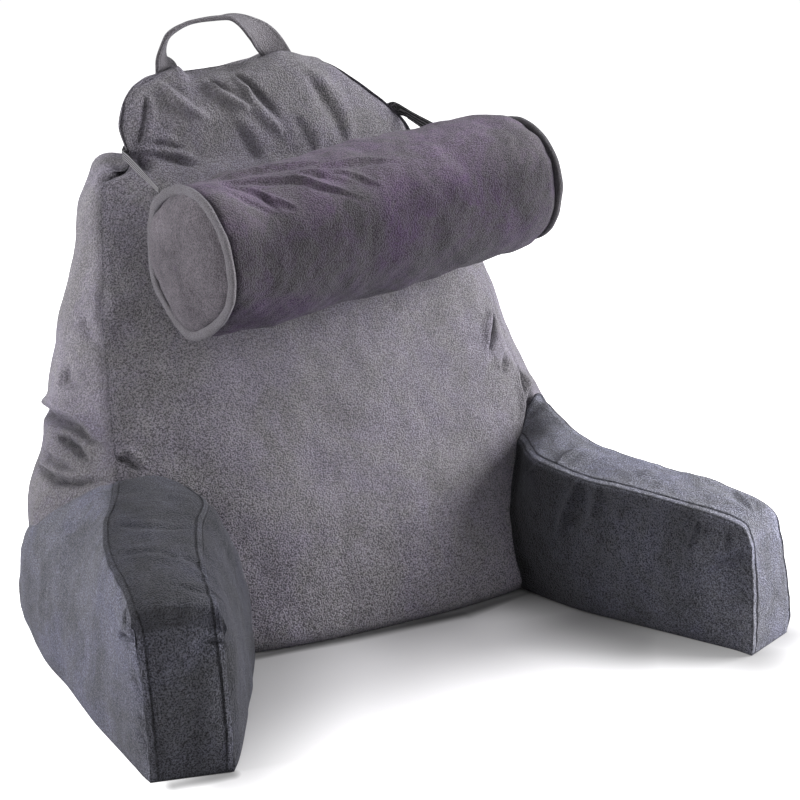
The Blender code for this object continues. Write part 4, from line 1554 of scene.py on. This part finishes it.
@dataclass
class NeckStrap:
    """The ribbed elastic from one end of the roll round the back of the head to the other.

    It goes straight from left_end to left_corner by the head's face seam, rises round the back of the
    head, and follows right_way round the right corner to the roll's other end. hug is how far the
    band's middle stays off the head's back, and reach from how far it is drawn to it.
    """

    finish: bpy.types.Material
    width: float = 0.0088
    thickness: float = 0.0012
    hug: float = 0.0016
    reach: float = 0.020
    left_end: tuple[float, float, float] = (-0.1793, -0.0114, 0.4054)
    left_corner: tuple[float, float, float] = (-0.1665, 0.1351, 0.4220)
    leg_shares: tuple[float, ...] = (0.0, 0.4, 0.8, 1.0)
    head_z: float = 0.422
    head_rise: float = 0.001
    head_places: int = 20
    head_off: float = 0.0014
    head_columns: tuple[int, int, int] = (26, 5, 20)
    right_way: tuple[tuple[float, float, float], ...] = (
        (0.1135, 0.1825, 0.4435), (0.1240, 0.1770, 0.4450), (0.1300, 0.1710, 0.4465),
        (0.1335, 0.1635, 0.4480), (0.1345, 0.1550, 0.4500), (0.1342, 0.1500, 0.4515),
        (0.1338, 0.1465, 0.4530), (0.1335, 0.1430, 0.4540), (0.1400, 0.1360, 0.4490),
        (0.1560, 0.1178, 0.4364), (0.1760, 0.0950, 0.4210), (0.1945, 0.0740, 0.4080))

    def round_head(self, head: Backrest) -> Array:
        """Places round the back of the head, on from its left face seam.

        Place k stands at head_z + head_rise*k, beside the widest of the head's outlines within the
        band's width: the outline's k-th point, backward from the seam, moved out by head_off square to
        the outline.

        Args:
            head: the backrest.

        Returns:
            One row for each place.
        """
        k = np.arange(1, self.head_places + 1)
        heights = self.head_z + self.head_rise * k
        edges = heights[:, None] + self.width * np.array((-0.5, 0.0, 0.5))
        outlines = head.outlines(edges.ravel(), *self.head_columns)[..., :2]
        outlines = outlines.reshape(len(k), 3, -1, 2)
        way = np.roll(outlines, -1, axis=2) - np.roll(outlines, 1, axis=2)
        beside = outlines + self.head_off * unit(np.stack((way[..., 1], -way[..., 0]), axis=-1))
        beside = beside[k - 1, :, -k]
        far = np.linalg.norm(beside - outlines[:, 1].mean(axis=1)[:, None], axis=-1)
        return np.column_stack((beside[k - 1, far.argmax(axis=1)], heights))

    def route(self, head: Backrest) -> Array:
        """The band's way from one end of the roll to the other.

        Args:
            head: the backrest.

        Returns:
            One row for each place.
        """
        start, corner = np.array(self.left_end), np.array(self.left_corner)
        leg = start + np.array(self.leg_shares)[:, None] * (corner - start)
        return np.vstack((leg, self.round_head(head), self.right_way))

    def build(self, head: Backrest, core: BVHTree) -> bpy.types.Object:
        """The band, on edge along its route and kept off the head.

        Args:
            head: the backrest.
            core: the backrest's skin.

        Returns:
            The band.
        """
        route = self.route(head)
        along = np.concatenate(((0.0,), np.cumsum(np.linalg.norm(np.diff(route, axis=0), axis=1))))
        places = np.linspace(0.0, along[-1], 420)
        centres = smooth(along, route, places)
        for index in np.flatnonzero((centres[:, 0] > -0.10) & (centres[:, 1] > 0.152)):
            place, normal, _, far = core.find_nearest(Vector(centres[index]))
            if far < self.reach:
                centres[index, :2] = (place + self.hug * normal)[:2]
        for _ in range(16):
            centres[1:-1] = (centres[:-2] + 2.0 * centres[1:-1] + centres[2:]) / 4.0
        angle = np.linspace(0.0, 2 * math.pi, 40, endpoint=False)
        u, v = np.cos(angle), np.sin(angle)
        section = np.column_stack((np.sign(u) * np.abs(u) ** 0.4 * self.width / 2,
                                   np.sign(v) * np.abs(v) ** 0.7 * self.thickness / 2))
        grid = carried(centres, np.tile((0.0, 0.0, 1.0), (len(centres), 1)), section)
        narrow = (0.58 + 0.42 * step(0.0, 0.10, places))[:, None, None]
        narrow = narrow * (1.0 + 0.35 * step(along[-1] - 0.085, along[-1] - 0.050, places))[:, None, None]
        grid = centres[:, None] + (grid - centres[:, None]) * narrow
        grid = cleared(grid, core, 0.0005, len(grid))
        if np.sum(grid_normals(grid) * (grid - centres[:, None])) < 0.0:
            grid, section = grid[:, ::-1], section[::-1]
        points, faces = capped(grid)
        shape = grid.shape[:2]
        marks = {key: np.zeros(len(points)) for key in ("across", "along", "nap")}
        marks["across"][:-2] = np.tile(section[:, 0] / self.width + 0.5, (shape[0], 1)).ravel()
        marks["along"][:-2] = np.repeat(places, shape[1])
        # painted light and shade: the lit left leg lighter, the band darker from there round the head and
        # down the right
        marks["nap"][:-2] = np.repeat(1.25 - 0.75 * step(0.14, 0.20, places), shape[1])
        return add_mesh("neck_strap_band", points, faces, self.finish, marks)


# ---------------------------------------------------------------- studio


@dataclass(frozen=True)
class View:
    """The camera: its place and lens, and how far it is turned and looks down, in degrees."""

    place: tuple[float, float, float] = (-0.569, -1.1942, 0.5888)
    lens: float = 63.0
    sensor: float = 36.0
    turned: float = -28.0
    down: float = 17.0

    def set_up(self) -> None:
        """Make it the scene's camera."""
        data = bpy.data.cameras.new("camera")
        data.lens, data.sensor_width = self.lens, self.sensor
        camera = bpy.data.objects.new("camera", data)
        camera.location = self.place
        camera.rotation_euler = (math.radians(90.0 - self.down), 0.0, math.radians(self.turned))
        bpy.context.scene.collection.objects.link(camera)
        bpy.context.scene.camera = camera


@dataclass(frozen=True)
class Lamp:
    """A square soft light, its size in metres and its power in watts."""

    name: str
    place: tuple[float, float, float]
    aim: tuple[float, float, float]
    size: float
    power: float

    def set_up(self) -> None:
        """Hang it and turn it to its aim."""
        light = bpy.data.lights.new(self.name, "AREA")
        light.size, light.energy = self.size, self.power
        lamp = bpy.data.objects.new(self.name, light)
        lamp.location = self.place
        lamp.rotation_euler = (Vector(self.aim) - Vector(self.place)).to_track_quat("-Z", "Y").to_euler()
        bpy.context.scene.collection.objects.link(lamp)


@dataclass(frozen=True)
class PaintedShadow:
    """A soft shadow painted on the floor, beside a line from start to end."""

    start: tuple[float, float]
    end: tuple[float, float]
    reach: float
    strength: float


LAMPS = (
    Lamp("right", (2.3, -0.9, 0.95), (0.0, 0.0, 0.20), 1.3, 130.0),
    Lamp("left", (-2.3, 0.5, 1.20), (0.0, 0.0, 0.25), 1.3, 52.0),
    Lamp("top", (0.4, 0.9, 2.60), (0.0, 0.0, 0.30), 1.6, 30.0),
)
PAINTED_SHADOWS = (
    PaintedShadow((-0.284, -0.294), (-0.240, -0.300), 0.017, 0.72),
    PaintedShadow((-0.237, -0.300), (-0.150, -0.140), 0.100, 0.40),
    PaintedShadow((0.141, -0.130), (0.160, -0.205), 0.090, 0.60),
    PaintedShadow((0.160, -0.205), (0.178, -0.262), 0.110, 0.68),
    PaintedShadow((0.178, -0.262), (0.245, -0.338), 0.100, 0.64),
    PaintedShadow((0.245, -0.338), (0.306, -0.320), 0.060, 0.50),
    PaintedShadow((-0.150, -0.130), (0.062, -0.140), 0.014, 0.75),
    PaintedShadow((0.062, -0.140), (0.141, -0.130), 0.016, 0.70),
)
FLOOR_EDGES = (("X", -0.250, -0.285), ("X", 0.330, 0.420), ("Y", -0.200, -0.430), ("Y", 0.050, 0.200))
FLOOR_CORNERS = ((-6, -6, -0.0006), (6, -6, -0.0006), (6, 8, -0.0006), (-6, 8, -0.0006))
WORLD_LIGHT = 0.36
WORLD_SEEN = 1.02


def studio() -> None:
    """The camera, a pale floor, a white surround and soft lights.

    The surround lights the scene by WORLD_LIGHT, and the camera sees it as bright as WORLD_SEEN.
    """
    scene = bpy.context.scene
    View().set_up()
    floor_mesh = bpy.data.meshes.new("floor")
    floor_mesh.from_pydata(FLOOR_CORNERS, [], [(0, 1, 2, 3)])
    floor = bpy.data.objects.new("floor", floor_mesh)
    floor_mesh.materials.append(floor_paint())
    scene.collection.objects.link(floor)

    world = bpy.data.worlds.new("studio")
    world.use_nodes = True
    tree = world.node_tree
    back = tree.nodes["Background"]
    back.inputs["Color"].default_value = (1.0, 1.0, 1.0, 1.0)
    path = tree.nodes.new("ShaderNodeLightPath")
    level = tree.nodes.new("ShaderNodeMapRange")
    tree.links.new(path.outputs["Is Camera Ray"], level.inputs["Value"])
    level.inputs["To Min"].default_value = WORLD_LIGHT
    level.inputs["To Max"].default_value = WORLD_SEEN
    tree.links.new(level.outputs["Result"], back.inputs["Strength"])
    scene.world = world
    scene.view_settings.view_transform = "Standard"
    for lamp in LAMPS:
        lamp.set_up()


def floor_paint() -> bpy.types.Material:
    """A pale floor with soft shadows painted by the pillow, going to white further away.

    Beside each of the painted shadows' lines the floor's colour and glow darken by a strength that
    fades out over a reach, and past FLOOR_EDGES it glows white for the camera alone.

    Returns:
        The floor's material.
    """
    n = Nodes("floor_white")
    axes = n.tree.nodes.new("ShaderNodeSeparateXYZ")
    n.put(axes.inputs[0], n.place)
    dim: object = 1.0
    for axis, near, far in FLOOR_EDGES:
        dim = n.math("MULTIPLY", dim, n.spread(axes.outputs[axis], near, far, 1.0, 0.0))
    # painted shadows: the floor's colour and glow darkened beside the pillow's edges
    lit: object = 1.0
    for shade in PAINTED_SHADOWS:
        way = (shade.end[0] - shade.start[0], shade.end[1] - shade.start[1])
        off_x, off_y = (n.math("SUBTRACT", axes.outputs[a], shade.start[k]) for k, a in enumerate("XY"))
        dot = n.math("ADD", n.math("MULTIPLY", off_x, way[0]), n.math("MULTIPLY", off_y, way[1]))
        share = n.math("DIVIDE", dot, way[0] ** 2 + way[1] ** 2, clamp=True)
        gaps = [n.math("SUBTRACT", off, n.math("MULTIPLY", share, part))
                for off, part in zip((off_x, off_y), way)]
        far = n.math("SQRT", n.math("ADD", *(n.math("MULTIPLY", gap, gap) for gap in gaps)))
        lit = n.math("MINIMUM", lit, n.spread(far, 0.0, shade.reach, 1.0 - shade.strength, 1.0))
    path = n.tree.nodes.new("ShaderNodeLightPath")
    n.put(n.shader.inputs["Base Color"], n.mix(lit, (0.0, 0.0, 0.0, 1.0), (0.80, 0.79, 0.81, 1.0)))
    n.shader.inputs["Roughness"].default_value = 0.9
    n.shader.inputs["Emission Color"].default_value = (1.0, 1.0, 1.0, 1.0)
    seen = n.math("MULTIPLY", n.math("SUBTRACT", 1.0, dim), path.outputs["Is Camera Ray"])
    n.put(n.shader.inputs["Emission Strength"], n.math("MULTIPLY", seen, lit))
    return n.material


def tree_of(piece: bpy.types.Object) -> BVHTree:
    """The piece's skin, for measuring against.

    Args:
        piece: a closed piece.

    Returns:
        Its faces, ready for rays.
    """
    mesh = piece.data
    return BVHTree.FromPolygons([v.co for v in mesh.vertices], [tuple(p.vertices) for p in mesh.polygons])


def settle(piece: bpy.types.Object, slot: Cloth, *nodes: str, fill: float | None = None) -> None:
    """Put a piece on the body, hide the solids that it stands for, and log its count of faces.

    Args:
        piece: the piece.
        slot: its finish; it is not used.
        nodes: the solids that it stands for.
        fill: how tightly it is stuffed, or nothing where it isn't a padded piece; it is not used.
    """
    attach(piece, BODY)
    if nodes:
        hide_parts(*nodes)
    LOG.info("%s: %d faces", piece.name, len(piece.data.polygons))


FINISHES = (
    Plush(Cloth.FACE.value, grey=(0.220, 0.209, 0.222), tint=(0.158, 0.143, 0.184), tint_share=0.80,
          grain=0.70, grain_scale=700.0, sheen=0.18, pebble=0.0016, mottle=0.20),
    Plush(Cloth.ARM.value, grey=(0.120, 0.121, 0.140), tint=(0.082, 0.083, 0.118), tint_share=0.8,
          grain=0.66, grain_scale=760.0, sheen=0.10, pebble=0.0020, mottle=0.34),
    Plush(Cloth.ROLL.value, grey=(0.114, 0.102, 0.115), tint=(0.074, 0.038, 0.098), tint_share=1.0,
          grain=0.34, grain_scale=760.0, sheen=0.12, pebble=0.0011, mottle=0.34),
    Plush(Cloth.EDGE.value, grey=(0.178, 0.166, 0.178), tint=(0.132, 0.124, 0.144), tint_share=0.5,
          grain=0.20, grain_scale=900.0, sheen=0.20, pebble=0.0010, mottle=0.14),
    Ribbed(Cloth.ELASTIC.value, dark=(0.012, 0.012, 0.013), light=(0.29, 0.275, 0.30)),
)


def main() -> None:
    """Build every piece over the frame."""
    logging.basicConfig(level=logging.INFO, format="%(message)s")
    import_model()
    studio()
    face, arm, roll, edge, elastic = (finish.build() for finish in FINISHES)

    head = Backrest(face)
    backrest = head.build()
    settle(backrest, Cloth.FACE, "backrest", fill=0.7)
    core = tree_of(backrest)
    left = Arm("arm_left_cover", arm, ARM_LEFT, CREASES_LEFT, PAINTED_LIGHT_LEFT, seed=41)
    left_cover = left.build(core, outward=(-0.80, -0.60, 0.0))
    settle(left_cover, Cloth.ARM, "arm_left", fill=0.75)
    right = Arm("arm_right_cover", arm, ARM_RIGHT, CREASES_RIGHT, PAINTED_LIGHT_RIGHT, seed=51, puckered=(1.0, 0.0))
    right_cover = right.build(core, outward=(0.80, -0.60, 0.0))
    settle(right_cover, Cloth.ARM, "arm_right", fill=0.75)
    bolster, rim_left, rim_right = NeckRoll(roll, edge).build()
    settle(bolster, Cloth.ROLL, "neck_roll", fill=0.8)
    settle(rim_left, Cloth.EDGE, "roll_welt_left")
    settle(rim_right, Cloth.EDGE, "roll_welt_right")
    handle = Handle(edge).build()
    settle(handle, Cloth.EDGE, "handle")
    strap = NeckStrap(elastic).build(head, core)
    settle(strap, Cloth.ELASTIC, "neck_strap")


if __name__ == "__main__":
    main()
